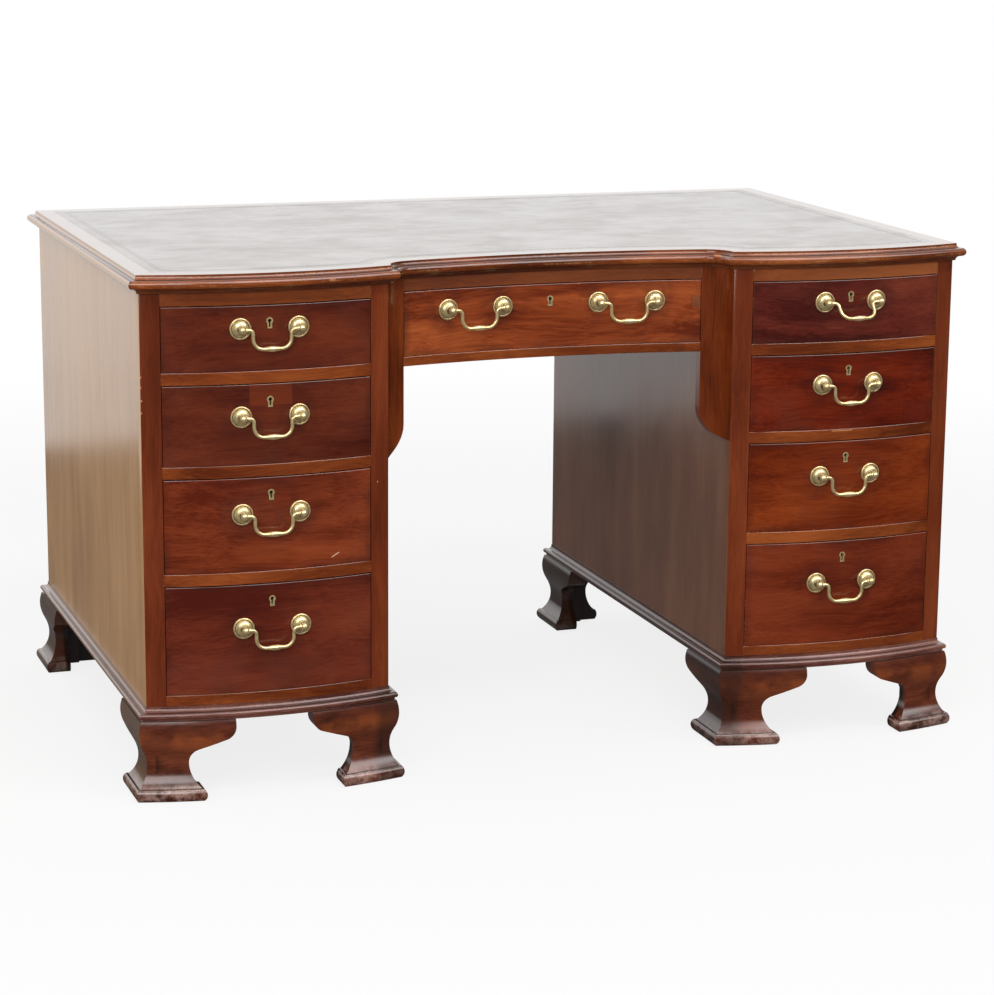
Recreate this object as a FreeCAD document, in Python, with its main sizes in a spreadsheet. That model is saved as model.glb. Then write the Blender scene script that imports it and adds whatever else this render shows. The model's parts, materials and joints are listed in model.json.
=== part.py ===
import FreeCAD, Part
import math
import os

import Sketcher

# A bow-fronted kneehole desk: two pedestals of four drawers, a hollow frieze with one drawer between
# them, a leather-lined top with a moulded edge, and ogee bracket feet.
# Frame: +X to the desk's right, -Y to the sitter, +Z up, origin on the floor under the middle.

SIZES = {
    # Case
    "case_width": 1300,
    "case_depth": 796,
    "kneehole_width": 554,
    "side_board": 18,
    "back_board": 10,
    "bottom_board": 9,
    "stile_width": 28.8,
    "stile_depth": 20,
    "rail_depth": 60,
    "apron_board": 18,
    # Heights, from the floor up
    "foot_height": 121.5,
    "bottom_rail": 16,
    "drawer_height_four": 165,
    "drawer_height_three": 142,
    "drawer_height_two": 120,
    "drawer_height_one": 97,
    "divider": 18.5,
    "top_rail": 19.5,
    "centre_drawer_height": 99,
    "centre_rail": 14.5,
    # Plan of the front
    "bow_rise": 25,
    "cove_reach": 36.5,
    "cove_depth": 40.5,
    "hollow_depth": 22.5,
    "bracket_board": 16,
    "bracket_drop": 269,
    "bracket_round": 51,
    # Edge of the top
    "top_overhang": 17,
    "top_bead": 6.5,
    "top_under_cove": 7,
    "top_quirk": 1.2,
    "top_cove": 5,
    "top_fillet": 2,
    "leather_margin": 27,
    "leather_thickness": 1.6,
    "leather_clearance": 0.2,
    # Base moulding
    "base_overhang": 12.5,
    "base_bead": 4.5,
    "base_bead_height": 8,
    "base_quirk": 1,
    "base_cove": 6,
    "base_fillet": 2.5,
    "base_frame_width": 45,
    # Feet
    "foot_back": 20,
    "pad_height": 18.5,
    "pad_overhang": 21,
    "pad_swell": 4,
    "pad_step": 3,
    "ogee_turn_height": 76,
    "ogee_turn_reach": 7,
    "ogee_top_reach": 10.5,
    "ogee_hollow": 9,
    "ogee_swell": 5,
    "pad_reach": 82,
    "neck_reach": 59.5,
    "neck_height": 56,
    "neck_round": 22,
    "wing_reach": 127.5,
    "wing_round": 22,
    "glue_block": 22,
    "glue_block_lift": 4,
    # Drawers
    "drawer_back_gap": 133,
    "drawer_gap": 1,
    "drawer_top_gap": 1.2,
    "drawer_lift": 0.3,
    "drawer_front_back": 13,
    "centre_front_thickness": 22,
    "drawer_side": 9,
    "drawer_side_drop": 5,
    "drawer_back": 8,
    "drawer_bottom": 6,
    "drawer_bottom_lift": 8,
    "groove_depth": 4,
    "tail_length": 12,
    "runner_width": 38,
    "runner_thickness": 14,
    "guide_height": 20,
    "centre_runner_lap": 16,
    # Locks
    "lock_width": 62,
    "lock_height": 40,
    "lock_depth": 13,
    "bolt_width": 22,
    "bolt_thickness": 5.5,
    "bolt_length": 30,
    "bolt_sink": 0.4,
    "bolt_clearance": 0.3,
    "bolt_throw": 8,
    "key_drop": 24,
    "key_head": 2.8,
    "key_slot": 2.6,
    "key_slot_drop": 9,
    "liner_wall": 2.2,
    "liner_depth": 5,
    "liner_proud": 0.4,
    # Handles
    "handle_drop_one": 34.5,
    "handle_drop_two": 48.5,
    "handle_drop_three": 55,
    "handle_drop_four": 66.5,
    "centre_handle_drop": 32,
    "centre_handle_offset": 121,
    "knob_spacing": 89,
    "knob_reach": 17,
    "knob_radius": 5.6,
    "neck_radius": 3.2,
    "plate_radius": 16,
    "plate_rim": 2.2,
    "plate_sink": 0.4,
    "rim_width": 2.6,
    "rim_step": 0.9,
    "dome_height": 6.5,
    "dome_radius": 11.5,
    "shank_radius": 2.4,
    "shank_spare": 1.5,
    "nut_radius": 6,
    "nut_thickness": 4,
    "bail_drop": 28.5,
    "bail_radius": 2.6,
    "grip_radius": 4,
    "leg_inset": 16,
    "top_bend": 6.5,
    "low_bend": 13,
    "pin_depth": 3,
    "pin_clearance": 0.1,
    "bore_floor": 0.4,
    # How far cutters run past what they cut
    "overrun": 5,
}

# In degrees: how far the stiff handle of the right-hand top drawer stands out, and the rise of a foot's wing
ANGLES = {"stuck_handle_angle": 40, "wing_slope": 20}

# Share of a dovetail's pitch that half its neck and half its broad end take
TAIL_NECK_SHARE = 0.2
TAIL_END_SHARE = 0.32
TAILS = {"one": 2, "two": 3, "three": 3, "four": 4, "centre": 2}

doc = FreeCAD.newDocument("KneeholeDesk")
sheet = doc.addObject("Spreadsheet::Sheet", "Sizes")
for row, (alias, number) in enumerate((SIZES | ANGLES).items(), start=1):
    sheet.set(f"A{row}", alias)
    sheet.set(f"B{row}", str(number))
    sheet.setAlias(f"B{row}", alias)
doc.recompute()

plan = doc.addObject("App::FeaturePython", "Plan")


class Size:
    """A number together with the formula that the document keeps for it."""

    def __init__(self, value, formula):
        self.value = value
        self.formula = formula

    def __add__(self, other):
        return Size(self.value + value_of(other), f"({self.formula} + {formula_of(other)})")

    def __radd__(self, other):
        return Size(value_of(other) + self.value, f"({formula_of(other)} + {self.formula})")

    def __sub__(self, other):
        return Size(self.value - value_of(other), f"({self.formula} - {formula_of(other)})")

    def __rsub__(self, other):
        return Size(value_of(other) - self.value, f"({formula_of(other)} - {self.formula})")

    def __mul__(self, other):
        return Size(self.value * value_of(other), f"({self.formula} * {formula_of(other)})")

    def __rmul__(self, other):
        return self * other

    def __truediv__(self, other):
        return Size(self.value / value_of(other), f"({self.formula} / {formula_of(other)})")

    def __neg__(self):
        return Size(-self.value, f"(0 - {self.formula})")


def value_of(size):
    return size.value if isinstance(size, Size) else size


def formula_of(size):
    return size.formula if isinstance(size, Size) else str(size)


def root(size):
    return Size(math.sqrt(size.value), f"sqrt({size.formula})")


def arc_sine(size):
    return Size(math.degrees(math.asin(size.value)), f"(asin({size.formula}) / 1 deg)")


def sine(angle):
    return Size(math.sin(math.radians(angle.value)), f"sin({angle.formula} * 1 deg)")


def cosine(angle):
    return Size(math.cos(math.radians(angle.value)), f"cos({angle.formula} * 1 deg)")


def size_of(alias):
    return Size(float(sheet.get(alias)), f"Sizes.{alias}")


def keep(name, size):
    """Names a worked-out size in the document, so that other formulas can use it."""
    plan.addProperty("App::PropertyFloat", name)
    plan.setExpression(name, size.formula)
    return Size(size.value, f"Plan.{name}")


def arc_radius(chord_x, chord_y, rise):
    """Radius of the arc with this chord that rises this far off it."""
    return ((chord_x * chord_x + chord_y * chord_y) / 4 + rise * rise) / (2 * rise)


ZERO = Size(0, "0")
ONE = Size(1, "1")
S = {alias: size_of(alias) for alias in SIZES | ANGLES}
overrun = S["overrun"]

# Widths and depths
half_width = keep("half_width", S["case_width"] / 2)
inner = keep("inner", S["kneehole_width"] / 2)
pedestal_width = keep("pedestal_width", half_width - inner)
pedestal_x = keep("pedestal_x", (half_width + inner) / 2)
frieze_half = keep("frieze_half", inner - S["cove_reach"])
opening = keep("opening", pedestal_width - 2 * S["stile_width"])
ball_reach = keep("ball_reach", S["knob_reach"] - S["plate_sink"])
front_reach = (
    S["bow_rise"] + ball_reach + S["bail_drop"] * sine(S["stuck_handle_angle"]) + S["grip_radius"]
)
front = keep("front", (front_reach - S["case_depth"] - S["pad_overhang"]) / 2)
back = keep("back", front + S["case_depth"])
drawer_length = keep(
    "drawer_length",
    S["case_depth"] - S["back_board"] - S["drawer_front_back"] - S["drawer_back_gap"],
)

# The bow of a pedestal, and the unit normal at its outer end
bow_radius = keep("bow_radius", arc_radius(pedestal_width, 0, S["bow_rise"]))
bow_y = keep("bow_y", front - S["bow_rise"] + bow_radius)
bow_sine = keep("bow_sine", pedestal_width / 2 / bow_radius)
bow_cosine = keep("bow_cosine", (bow_radius - S["bow_rise"]) / bow_radius)

# The hollow of the frieze, and the cove that runs tangent from it to the pedestal's inner corner
hollow_front = keep("hollow_front", front + S["cove_depth"])
hollow_radius = keep("hollow_radius", arc_radius(2 * frieze_half, 0, S["hollow_depth"]))
hollow_y = keep("hollow_y", hollow_front + S["hollow_depth"] - hollow_radius)
hollow_sine = keep("hollow_sine", frieze_half / hollow_radius)
hollow_cosine = keep("hollow_cosine", (hollow_radius - S["hollow_depth"]) / hollow_radius)
cove_span = S["cove_reach"] * S["cove_reach"] + S["cove_depth"] * S["cove_depth"]
cove_lean = hollow_cosine * S["cove_depth"] - hollow_sine * S["cove_reach"]
cove_radius = keep("cove_radius", cove_span / (2 * cove_lean))
cove_x = keep("cove_x", frieze_half - cove_radius * hollow_sine)
cove_y = keep("cove_y", hollow_front - cove_radius * hollow_cosine)

# Heights
base_height = keep(
    "base_height", S["base_bead_height"] + S["base_bead"] + S["base_cove"] + S["base_fillet"]
)
top_thickness = keep(
    "top_thickness", S["top_under_cove"] + 2 * S["top_bead"] + S["top_cove"] + S["top_fillet"]
)
base_top = keep("base_top", S["foot_height"] + base_height)
floor_four = keep("floor_four", base_top + S["bottom_rail"])
floor_three = keep("floor_three", floor_four + S["drawer_height_four"] + S["divider"])
floor_two = keep("floor_two", floor_three + S["drawer_height_three"] + S["divider"])
floor_one = keep("floor_one", floor_two + S["drawer_height_two"] + S["divider"])
rail_top = keep("rail_top", floor_one + S["drawer_height_one"])
case_top = keep("case_top", rail_top + S["top_rail"])
desk_height = keep("desk_height", case_top + top_thickness)
centre_floor = keep("centre_floor", rail_top - S["centre_drawer_height"])
kneehole_top = keep("kneehole_top", centre_floor - S["centre_rail"])
FLOORS = {"one": floor_one, "two": floor_two, "three": floor_three, "four": floor_four}

nodes = {}


def bind(piece, path, size):
    """Binds a property to a size; a plain zero is left as the property's own start."""
    if isinstance(size, Size):
        piece.setExpression(path, size.formula)


def put(piece, x, y, z):
    bind(piece, "Placement.Base.x", x)
    bind(piece, "Placement.Base.y", y)
    bind(piece, "Placement.Base.z", z)
    return piece


def box(name, x, y, z):
    """A board between the two ends of each span."""
    piece = doc.addObject("Part::Box", name)
    bind(piece, "Length", x[1] - x[0])
    bind(piece, "Width", y[1] - y[0])
    bind(piece, "Height", z[1] - z[0])
    return put(piece, x[0], y[0], z[0])


def post(name, x, y, z, radius):
    """An upright cylinder."""
    piece = doc.addObject("Part::Cylinder", name)
    bind(piece, "Radius", radius)
    bind(piece, "Height", z[1] - z[0])
    return put(piece, x, y, z[0])


def bar(name, x, y, z, radius):
    """A cylinder that runs back along Y."""
    piece = doc.addObject("Part::Cylinder", name)
    piece.Placement.Rotation = FreeCAD.Rotation(FreeCAD.Vector(1, 0, 0), -90)
    bind(piece, "Radius", radius)
    bind(piece, "Height", y[1] - y[0])
    return put(piece, x, y[0], z)


def together(name, pieces):
    piece = doc.addObject("Part::Compound", name)
    piece.Links = pieces
    return piece


def cut(name, base, tools):
    piece = doc.addObject("Part::Cut", name)
    piece.Base = base
    piece.Tool = tools[0] if len(tools) == 1 else together(f"{name}_tools", tools)
    return piece


def common(name, first, second):
    piece = doc.addObject("Part::Common", name)
    piece.Base = first
    piece.Tool = second
    return piece


def fuse(name, pieces):
    piece = doc.addObject("Part::MultiFuse", name)
    piece.Shapes = pieces
    piece.Refine = True
    return piece


def mirror(name, source):
    """The same piece on the other half of the desk."""
    piece = doc.addObject("Part::Mirroring", name)
    piece.Source = source
    piece.Normal = FreeCAD.Vector(1, 0, 0)
    return piece


def node(label, pieces):
    """Keeps the pieces as one named sub-part."""
    piece = together(label, pieces)
    piece.Label = label
    nodes[label] = piece
    return piece


def arc_between(start, end, radius, left):
    """The short arc from start to end, with its centre to the left or the right of the way."""
    chord = end - start
    rise = math.sqrt(max(radius * radius - chord.Length * chord.Length / 4, 0))
    side = FreeCAD.Vector(-chord.y, chord.x, 0).normalize()
    centre = (start + end) * 0.5 + side * (rise if left else -rise)
    first, last = (start, end) if left else (end, start)
    begin = math.atan2(first.y - centre.y, first.x - centre.x)
    finish = math.atan2(last.y - centre.y, last.x - centre.x)
    circle = Part.Circle(centre, FreeCAD.Vector(0, 0, 1), radius)
    return Part.ArcOfCircle(circle, begin, finish if finish > begin else finish + 2 * math.pi)


def pin_corner(sketch, geometry, end, corner):
    """Holds one end of a line or arc at the corner's place."""
    for kind, axis, size in (("DistanceX", -2, corner[0]), ("DistanceY", -1, corner[1])):
        if isinstance(size, Size):
            index = sketch.addConstraint(Sketcher.Constraint(kind, -1, 1, geometry, end, size.value))
            sketch.setExpression(f"Constraints[{index}]", size.formula)
        else:
            sketch.addConstraint(Sketcher.Constraint("PointOnObject", geometry, end, axis))


def outline(name, corners, closed=True):
    """A sketch through the corners. A corner is (x, y), or (x, y, bend, radius) where an arc leads on:
    a round has its centre on the left of the way, a hollow on the right."""
    sketch = doc.addObject("Sketcher::SketchObject", name)
    places = [FreeCAD.Vector(value_of(corner[0]), value_of(corner[1]), 0) for corner in corners]
    count = len(corners) if closed else len(corners) - 1
    previous = None
    for step in range(count):
        corner = corners[step]
        start, end = places[step], places[(step + 1) % len(places)]
        head, tail = 1, 2
        if len(corner) == 2:
            geometry = sketch.addGeometry(Part.LineSegment(start, end), False)
        else:
            left = corner[2] == "round"
            geometry = sketch.addGeometry(arc_between(start, end, value_of(corner[3]), left), False)
            head, tail = (1, 2) if left else (2, 1)
            index = sketch.addConstraint(Sketcher.Constraint("Radius", geometry, value_of(corner[3])))
            sketch.setExpression(f"Constraints[{index}]", corner[3].formula)
        pin_corner(sketch, geometry, head, corner)
        if previous:
            sketch.addConstraint(Sketcher.Constraint("Coincident", *previous, geometry, head))
        else:
            opening_end = (geometry, head)
        previous = (geometry, tail)
    if closed:
        sketch.addConstraint(Sketcher.Constraint("Coincident", *previous, *opening_end))
    else:
        pin_corner(sketch, *previous, corners[-1])
    return sketch


# Ways that an upright profile can look: out to the right, back, left or front
RIGHT, BACK, LEFT, FRONT = 0, 90, 180, 270


def stand_up(sketch, way, x, y, z):
    """Stands a flat sketch upright, its own x axis pointing the given way."""
    turn = FreeCAD.Rotation(FreeCAD.Vector(0, 0, 1), way)
    upright = FreeCAD.Rotation(FreeCAD.Vector(1, 0, 0), 90)
    sketch.Placement.Rotation = turn.multiply(upright)
    return put(sketch, x, y, z)


def extrude(name, sketch, direction, length):
    piece = doc.addObject("Part::Extrusion", name)
    piece.Base = sketch
    piece.DirMode = "Custom"
    piece.Dir = FreeCAD.Vector(*direction)
    piece.Solid = True
    bind(piece, "LengthFwd", length)
    return piece


def revolve(name, sketch, x, y):
    """A full turn about an upright axis."""
    piece = doc.addObject("Part::Revolution", name)
    piece.Source = sketch
    piece.Axis = FreeCAD.Vector(0, 0, 1)
    piece.Angle = 360
    piece.Solid = True
    bind(piece, "Base.x", x)
    bind(piece, "Base.y", y)
    return piece


def prism(name, corners, z):
    """An upright prism on a plan of straight sides."""
    sketch = outline(f"{name}_plan", corners)
    put(sketch, 0, 0, z[0])
    return extrude(name, sketch, (0, 0, 1), z[1] - z[0])


def along(point, way, reach):
    return (point[0] + way[0] * reach, point[1] + way[1] * reach)


def between_mitres(name, start, end, outward, inward, z):
    """The room between two mitre lines. Each end is a point and the way in which its mitre runs out."""
    corners = [
        along(start[0], start[1], outward),
        along(start[0], start[1], -inward),
        along(end[0], end[1], -inward),
        along(end[0], end[1], outward),
    ]
    return prism(name, corners, z)


# Corners of the left-hand half in plan, each with the way in which its mitre runs out
FRONT_OUTER = ((-half_width, front), (-(1 + bow_sine), -bow_cosine))
FRONT_INNER = ((-inner, front), (1 + bow_sine, -bow_cosine))
BACK_OUTER = ((-half_width, back), (-ONE, ONE))
BACK_INNER = ((-inner, back), (ONE, ONE))
CUSP_WAY = (bow_sine + (inner - cove_x) / cove_radius, (cove_y - front) / cove_radius - bow_cosine)
CUSP = ((-inner, front), CUSP_WAY)
TANGENT = ((-frieze_half, hollow_front), (hollow_sine, -hollow_cosine))
TANGENT_RIGHT = ((frieze_half, hollow_front), (-hollow_sine, -hollow_cosine))


def top_profile(name, way, x, y):
    """Section of the top's border: flat, fillet, cove, quirk, bead nose and a small cove under it."""
    bead = S["top_bead"]
    nose = S["top_overhang"]
    under = S["top_under_cove"]
    nose_height = under + bead
    shoulder = nose - bead
    cove_foot = shoulder - S["top_quirk"]
    cove_head = cove_foot - S["top_cove"]
    border_inset = S["leather_margin"] - cove_head
    corners = [
        (-border_inset, 0),
        (shoulder - under, 0, "hollow", under),
        (shoulder, under, "round", bead),
        (nose, nose_height, "round", bead),
        (shoulder, nose_height + bead),
        (cove_foot, nose_height + bead, "hollow", S["top_cove"]),
        (cove_head, nose_height + bead + S["top_cove"]),
        (cove_head, top_thickness),
        (-border_inset, top_thickness),
    ]
    return stand_up(outline(name, corners), way, x, y, case_top)


def desk_top_border():
    """Lengths of moulded border, mitred at the corners and at the cusps of the front."""
    z = (case_top - overrun, desk_height + overrun)
    nose = S["top_overhang"]
    deep = S["leather_margin"] + S["bow_rise"] + nose
    side = extrude(
        "border_side_run",
        top_profile("border_side_section", LEFT, -half_width, front - deep),
        (0, 1, 0),
        S["case_depth"] + 2 * deep,
    )
    back_run = extrude(
        "border_back_run",
        top_profile("border_back_section", BACK, -half_width - deep, back),
        (1, 0, 0),
        S["case_width"] + 2 * deep,
    )
    bow = revolve(
        "border_bow_ring",
        top_profile("border_bow_section", FRONT, -pedestal_x, bow_y - bow_radius),
        -pedestal_x,
        bow_y,
    )
    cove = revolve(
        "border_cove_ring",
        top_profile("border_cove_section", FRONT, -cove_x, cove_y + cove_radius),
        -cove_x,
        cove_y,
    )
    hollow = revolve(
        "border_hollow_ring",
        top_profile("border_hollow_section", FRONT, 0, hollow_y + hollow_radius),
        0,
        hollow_y,
    )
    side_length = common(
        "border_side", side, between_mitres("border_side_room", BACK_OUTER, FRONT_OUTER, deep, deep, z)
    )
    bow_length = common(
        "border_bow", bow, between_mitres("border_bow_room", FRONT_OUTER, CUSP, deep, deep, z)
    )
    cove_length = common(
        "border_cove", cove, between_mitres("border_cove_room", CUSP, TANGENT, nose, deep, z)
    )
    hollow_length = common(
        "border_hollow", hollow, between_mitres("border_hollow_room", TANGENT, TANGENT_RIGHT, deep, deep, z)
    )
    back_right = ((half_width, back), (ONE, ONE))
    back_length = common(
        "border_back", back_run, between_mitres("border_back_room", BACK_OUTER, back_right, deep, deep, z)
    )
    lengths = [side_length, bow_length, cove_length, hollow_length, back_length]
    lengths += [mirror(f"{piece.Name}_right", piece) for piece in (side_length, bow_length, cove_length)]
    node("desk_top_border", lengths)


def inside_border(name, gap, z):
    """The plan inside the border, a gap clear of it all round."""
    flat_edge = S["top_overhang"] - S["top_bead"] - S["top_quirk"] - S["top_cove"]
    inset = S["leather_margin"] - flat_edge + gap
    slab = box(
        f"{name}_slab",
        (-half_width + inset, half_width - inset),
        (front - S["bow_rise"], back - inset),
        z,
    )
    room = (z[0] - overrun, z[1] + overrun)
    fronts = []
    for side, x in (("left", -pedestal_x), ("right", pedestal_x)):
        round_front = post(f"{name}_{side}_bow", x, bow_y, room, bow_radius - inset)
        reach = half_width if side == "right" else ZERO
        half = box(f"{name}_{side}_half", (reach - half_width, reach), (front - S["bow_rise"], back), room)
        fronts.append(common(f"{name}_{side}_front", round_front, half))
    fronts.append(box(f"{name}_middle", (-frieze_half, frieze_half), (hollow_front, back), room))
    bowed = common(f"{name}_bowed", slab, fuse(f"{name}_fronts", fronts))
    deep = 2 * (inset + S["hollow_depth"])
    hollow = common(
        f"{name}_hollow",
        post(f"{name}_hollow_post", 0, hollow_y, room, hollow_radius + inset),
        between_mitres(f"{name}_hollow_room", TANGENT, TANGENT_RIGHT, S["case_depth"] / 2, deep, room),
    )
    coves = []
    for side, x in (("left", -cove_x), ("right", cove_x)):
        coves.append(post(f"{name}_{side}_cove", x, cove_y, room, cove_radius + inset))
    return cut(f"{name}_shape", bowed, [fuse(f"{name}_hollows", [hollow] + coves)])


def desk_top():
    desk_top_border()
    bed = desk_height - S["leather_thickness"]
    node("desk_top_core", [inside_border("core", ZERO, (case_top, bed))])
    node("writing_leather", [inside_border("leather", S["leather_clearance"], (bed, desk_height))])


def bow_post(name, z):
    return post(name, -pedestal_x, bow_y, (z[0] - overrun, z[1] + overrun), bow_radius)


def hollow_post(name, z):
    return post(name, 0, hollow_y, (z[0] - overrun, z[1] + overrun), hollow_radius)


def case_sides():
    y = (front + S["stile_depth"], back)
    z = (base_top, case_top)
    outer = box("outer_side", (-half_width, -half_width + S["side_board"]), y, z)
    inward = box("inner_side", (-inner - S["side_board"], -inner), y, z)
    left = node("left_pedestal_sides", [outer, inward])
    node("right_pedestal_sides", [mirror("right_sides", left)])


def back_panels():
    z = (base_top, case_top)
    x = (-half_width + S["side_board"], -inner - S["side_board"])
    left = box("left_back", x, (back - S["back_board"], back), z)
    apron = box("back_apron", (-inner, inner), (back - S["apron_board"], back), (kneehole_top, case_top))
    node("back_panels", [left, mirror("right_back", left), apron])


def front_stiles():
    z = (base_top, case_top)
    y = (front - S["bow_rise"], front + S["stile_depth"])
    bow = bow_post("stile_bow", z)
    outer = box("outer_stile_blank", (-half_width, -half_width + S["stile_width"]), y, z)
    inward = box("inner_stile_blank", (-inner - S["stile_width"], -inner), y, z)
    left = together("left_stiles", [common("outer_stile", outer, bow), common("inner_stile", inward, bow)])
    node("front_stiles", [left, mirror("right_stiles", left)])


def bolt_room(name, x, y_middle, floor, clearance, rise):
    """The upright room of a lock bolt, from its floor up, with clearance all round."""
    wide = S["bolt_width"] / 2 + clearance
    thick = S["bolt_thickness"] / 2 + clearance
    return box(name, (x - wide, x + wide), (y_middle - thick, y_middle + thick), (floor, floor + rise))


def lock_middle(front_back):
    """Middle of a lock in depth, behind the back of its drawer front."""
    return front_back - S["lock_depth"] / 2


def pedestal_rail(name, z, mortised):
    """A rail between the stiles, its ends let in behind them to the side boards."""
    gap = S["stile_width"] - S["side_board"]
    x = (-half_width + S["stile_width"], -inner - S["stile_width"])
    face = box(f"{name}_face", x, (front - S["bow_rise"], front + S["rail_depth"]), z)
    behind = (front + S["stile_depth"], front + S["rail_depth"])
    ends = box(f"{name}_ends", (x[0] - gap, x[1] + gap), behind, z)
    rail = common(f"{name}_bowed", fuse(f"{name}_blank", [face, ends]), bow_post(f"{name}_bow", z))
    if not mortised:
        return rail
    y = lock_middle(front + S["drawer_front_back"])
    depth = S["bolt_throw"] + S["bolt_clearance"]
    return cut(name, rail, [bolt_room(f"{name}_mortise", -pedestal_x, y, z[0], S["bolt_clearance"], depth)])


def frieze_rail(name, z):
    x = (-frieze_half, frieze_half)
    back_edge = hollow_front + S["hollow_depth"] + S["rail_depth"]
    blank = box(f"{name}_blank", x, (hollow_front, back_edge), z)
    return cut(f"{name}_hollowed", blank, [hollow_post(f"{name}_hollow", z)])


def drawer_rails():
    left = [
        pedestal_rail("rail_top", (rail_top, case_top), True),
        pedestal_rail("rail_one", (floor_one - S["divider"], floor_one), True),
        pedestal_rail("rail_two", (floor_two - S["divider"], floor_two), True),
        pedestal_rail("rail_three", (floor_three - S["divider"], floor_three), True),
        pedestal_rail("rail_bottom", (base_top, floor_four), False),
    ]
    y = lock_middle(hollow_front + S["hollow_depth"] + S["centre_front_thickness"])
    depth = S["bolt_throw"] + S["bolt_clearance"]
    mortise = bolt_room("frieze_mortise", ZERO, y, rail_top, S["bolt_clearance"], depth)
    upper = cut("frieze_upper", frieze_rail("frieze_upper_rail", (rail_top, case_top)), [mortise])
    lower = frieze_rail("frieze_lower_rail", (kneehole_top, centre_floor))
    rails = left + [mirror(f"{rail.Name}_right", rail) for rail in left]
    node("drawer_rails", rails + [upper, lower])


def kneehole_brackets():
    """Coved brackets beside the frieze, their lower inner corners rounded."""
    z = (case_top - S["bracket_drop"], case_top)
    x = (-inner, -frieze_half)
    y = (front, hollow_front + S["bracket_board"])
    cove = post("bracket_cove", -cove_x, cove_y, (z[0] - overrun, z[1] + overrun), cove_radius)
    blank = cut("bracket_blank", box("bracket_board", x, y, z), [cove])
    round_radius = S["bracket_round"]
    offset = round_radius - S["cove_reach"]
    rise = root(round_radius * round_radius - offset * offset)
    round_z = z[0] + rise
    wheel = bar(
        "bracket_wheel",
        -frieze_half - round_radius,
        (y[0] - overrun, y[1] + overrun),
        round_z,
        round_radius,
    )
    above = box("bracket_above", x, (y[0] - overrun, y[1] + overrun), (round_z, z[1] + overrun))
    left = common("left_bracket", blank, fuse("bracket_keep", [wheel, above]))
    node("kneehole_brackets", [left, mirror("right_bracket", left)])


def runner_pair(name, floor, y, guided):
    """Runners along both sides of a pedestal, with the guides that steer the drawer above them."""
    pieces = []
    guide = S["stile_width"] - S["side_board"]
    z = (floor - S["runner_thickness"], floor)
    for side, wall, way in (
        ("outer", -half_width + S["side_board"], 1),
        ("inner", -inner - S["side_board"], -1),
    ):
        reach = wall + way * S["runner_width"]
        x = (wall, reach) if way > 0 else (reach, wall)
        pieces.append(box(f"{name}_{side}_runner", x, y, z))
        if guided:
            edge = wall + way * guide
            x = (wall, edge) if way > 0 else (edge, wall)
            guide_z = (floor, floor + S["guide_height"])
            pieces.append(box(f"{name}_{side}_guide", x, y, guide_z))
    return pieces


def drawer_runners():
    y = (front + S["rail_depth"], back - S["back_board"])
    left = []
    for level, floor in FLOORS.items():
        left += runner_pair(f"level_{level}", floor, y, True)
    left += runner_pair("kicker", case_top, y, False)
    centre_y = (hollow_front + S["bracket_board"], back - S["apron_board"])
    lap = (-frieze_half, -frieze_half + S["centre_runner_lap"])
    behind_rail = hollow_front + S["hollow_depth"] + S["rail_depth"]
    lap_y = (behind_rail, centre_y[1])
    low = (centre_floor - S["runner_thickness"], centre_floor)
    high = (case_top - S["runner_thickness"], case_top)
    wall = (-inner, -frieze_half)
    left.append(box("centre_guide", wall, centre_y, (low[0], case_top)))
    left.append(box("centre_runner", lap, lap_y, low))
    left.append(box("centre_kicker", lap, lap_y, high))
    node("drawer_runners", left + [mirror(f"{piece.Name}_right", piece) for piece in left])


def bottom_boards():
    x = (
        -half_width + S["side_board"] + S["runner_width"],
        -inner - S["side_board"] - S["runner_width"],
    )
    y = (front + S["rail_depth"], back - S["back_board"])
    left = box("left_bottom", x, y, (base_top, base_top + S["bottom_board"]))
    node("bottom_boards", [left, mirror("right_bottom", left)])


def base_profile(name, way, x, y):
    """Section of the base moulding and the frame behind it: fillet, cove, quirk and bead nose."""
    bead = S["base_bead"]
    nose = S["base_overhang"]
    nose_height = S["base_bead_height"]
    shoulder = nose - bead
    cove_foot = shoulder - S["base_quirk"]
    cove_head = cove_foot - S["base_cove"]
    corners = [
        (-S["base_frame_width"], 0),
        (shoulder, 0),
        (shoulder, nose_height - bead, "round", bead),
        (nose, nose_height, "round", bead),
        (shoulder, nose_height + bead),
        (cove_foot, nose_height + bead, "hollow", S["base_cove"]),
        (cove_head, nose_height + bead + S["base_cove"]),
        (cove_head, base_height),
        (-S["base_frame_width"], base_height),
    ]
    return stand_up(outline(name, corners), way, x, y, S["foot_height"])


def pedestal_runs(name, profile, deep):
    """A profile run round the left pedestal: its front as a ring, the other three sides straight."""
    bow_section = profile(f"{name}_bow_section", FRONT, -pedestal_x, bow_y - bow_radius)
    outer_section = profile(f"{name}_outer_section", LEFT, -half_width, front - deep)
    inner_section = profile(f"{name}_inner_section", RIGHT, -inner, front - deep)
    back_section = profile(f"{name}_back_section", BACK, -half_width - deep, back)
    side_length = S["case_depth"] + 2 * deep
    return {
        "front": revolve(f"{name}_bow", bow_section, -pedestal_x, bow_y),
        "outer": extrude(f"{name}_outer_run", outer_section, (0, 1, 0), side_length),
        "inner": extrude(f"{name}_inner_run", inner_section, (0, 1, 0), side_length),
        "back": extrude(f"{name}_back_run", back_section, (1, 0, 0), pedestal_width + 2 * deep),
    }


# The two corners that each side of a pedestal runs between
RUN_ENDS = {
    "front": (FRONT_OUTER, FRONT_INNER),
    "inner": (FRONT_INNER, BACK_INNER),
    "back": (BACK_INNER, BACK_OUTER),
    "outer": (BACK_OUTER, FRONT_OUTER),
}


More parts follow.
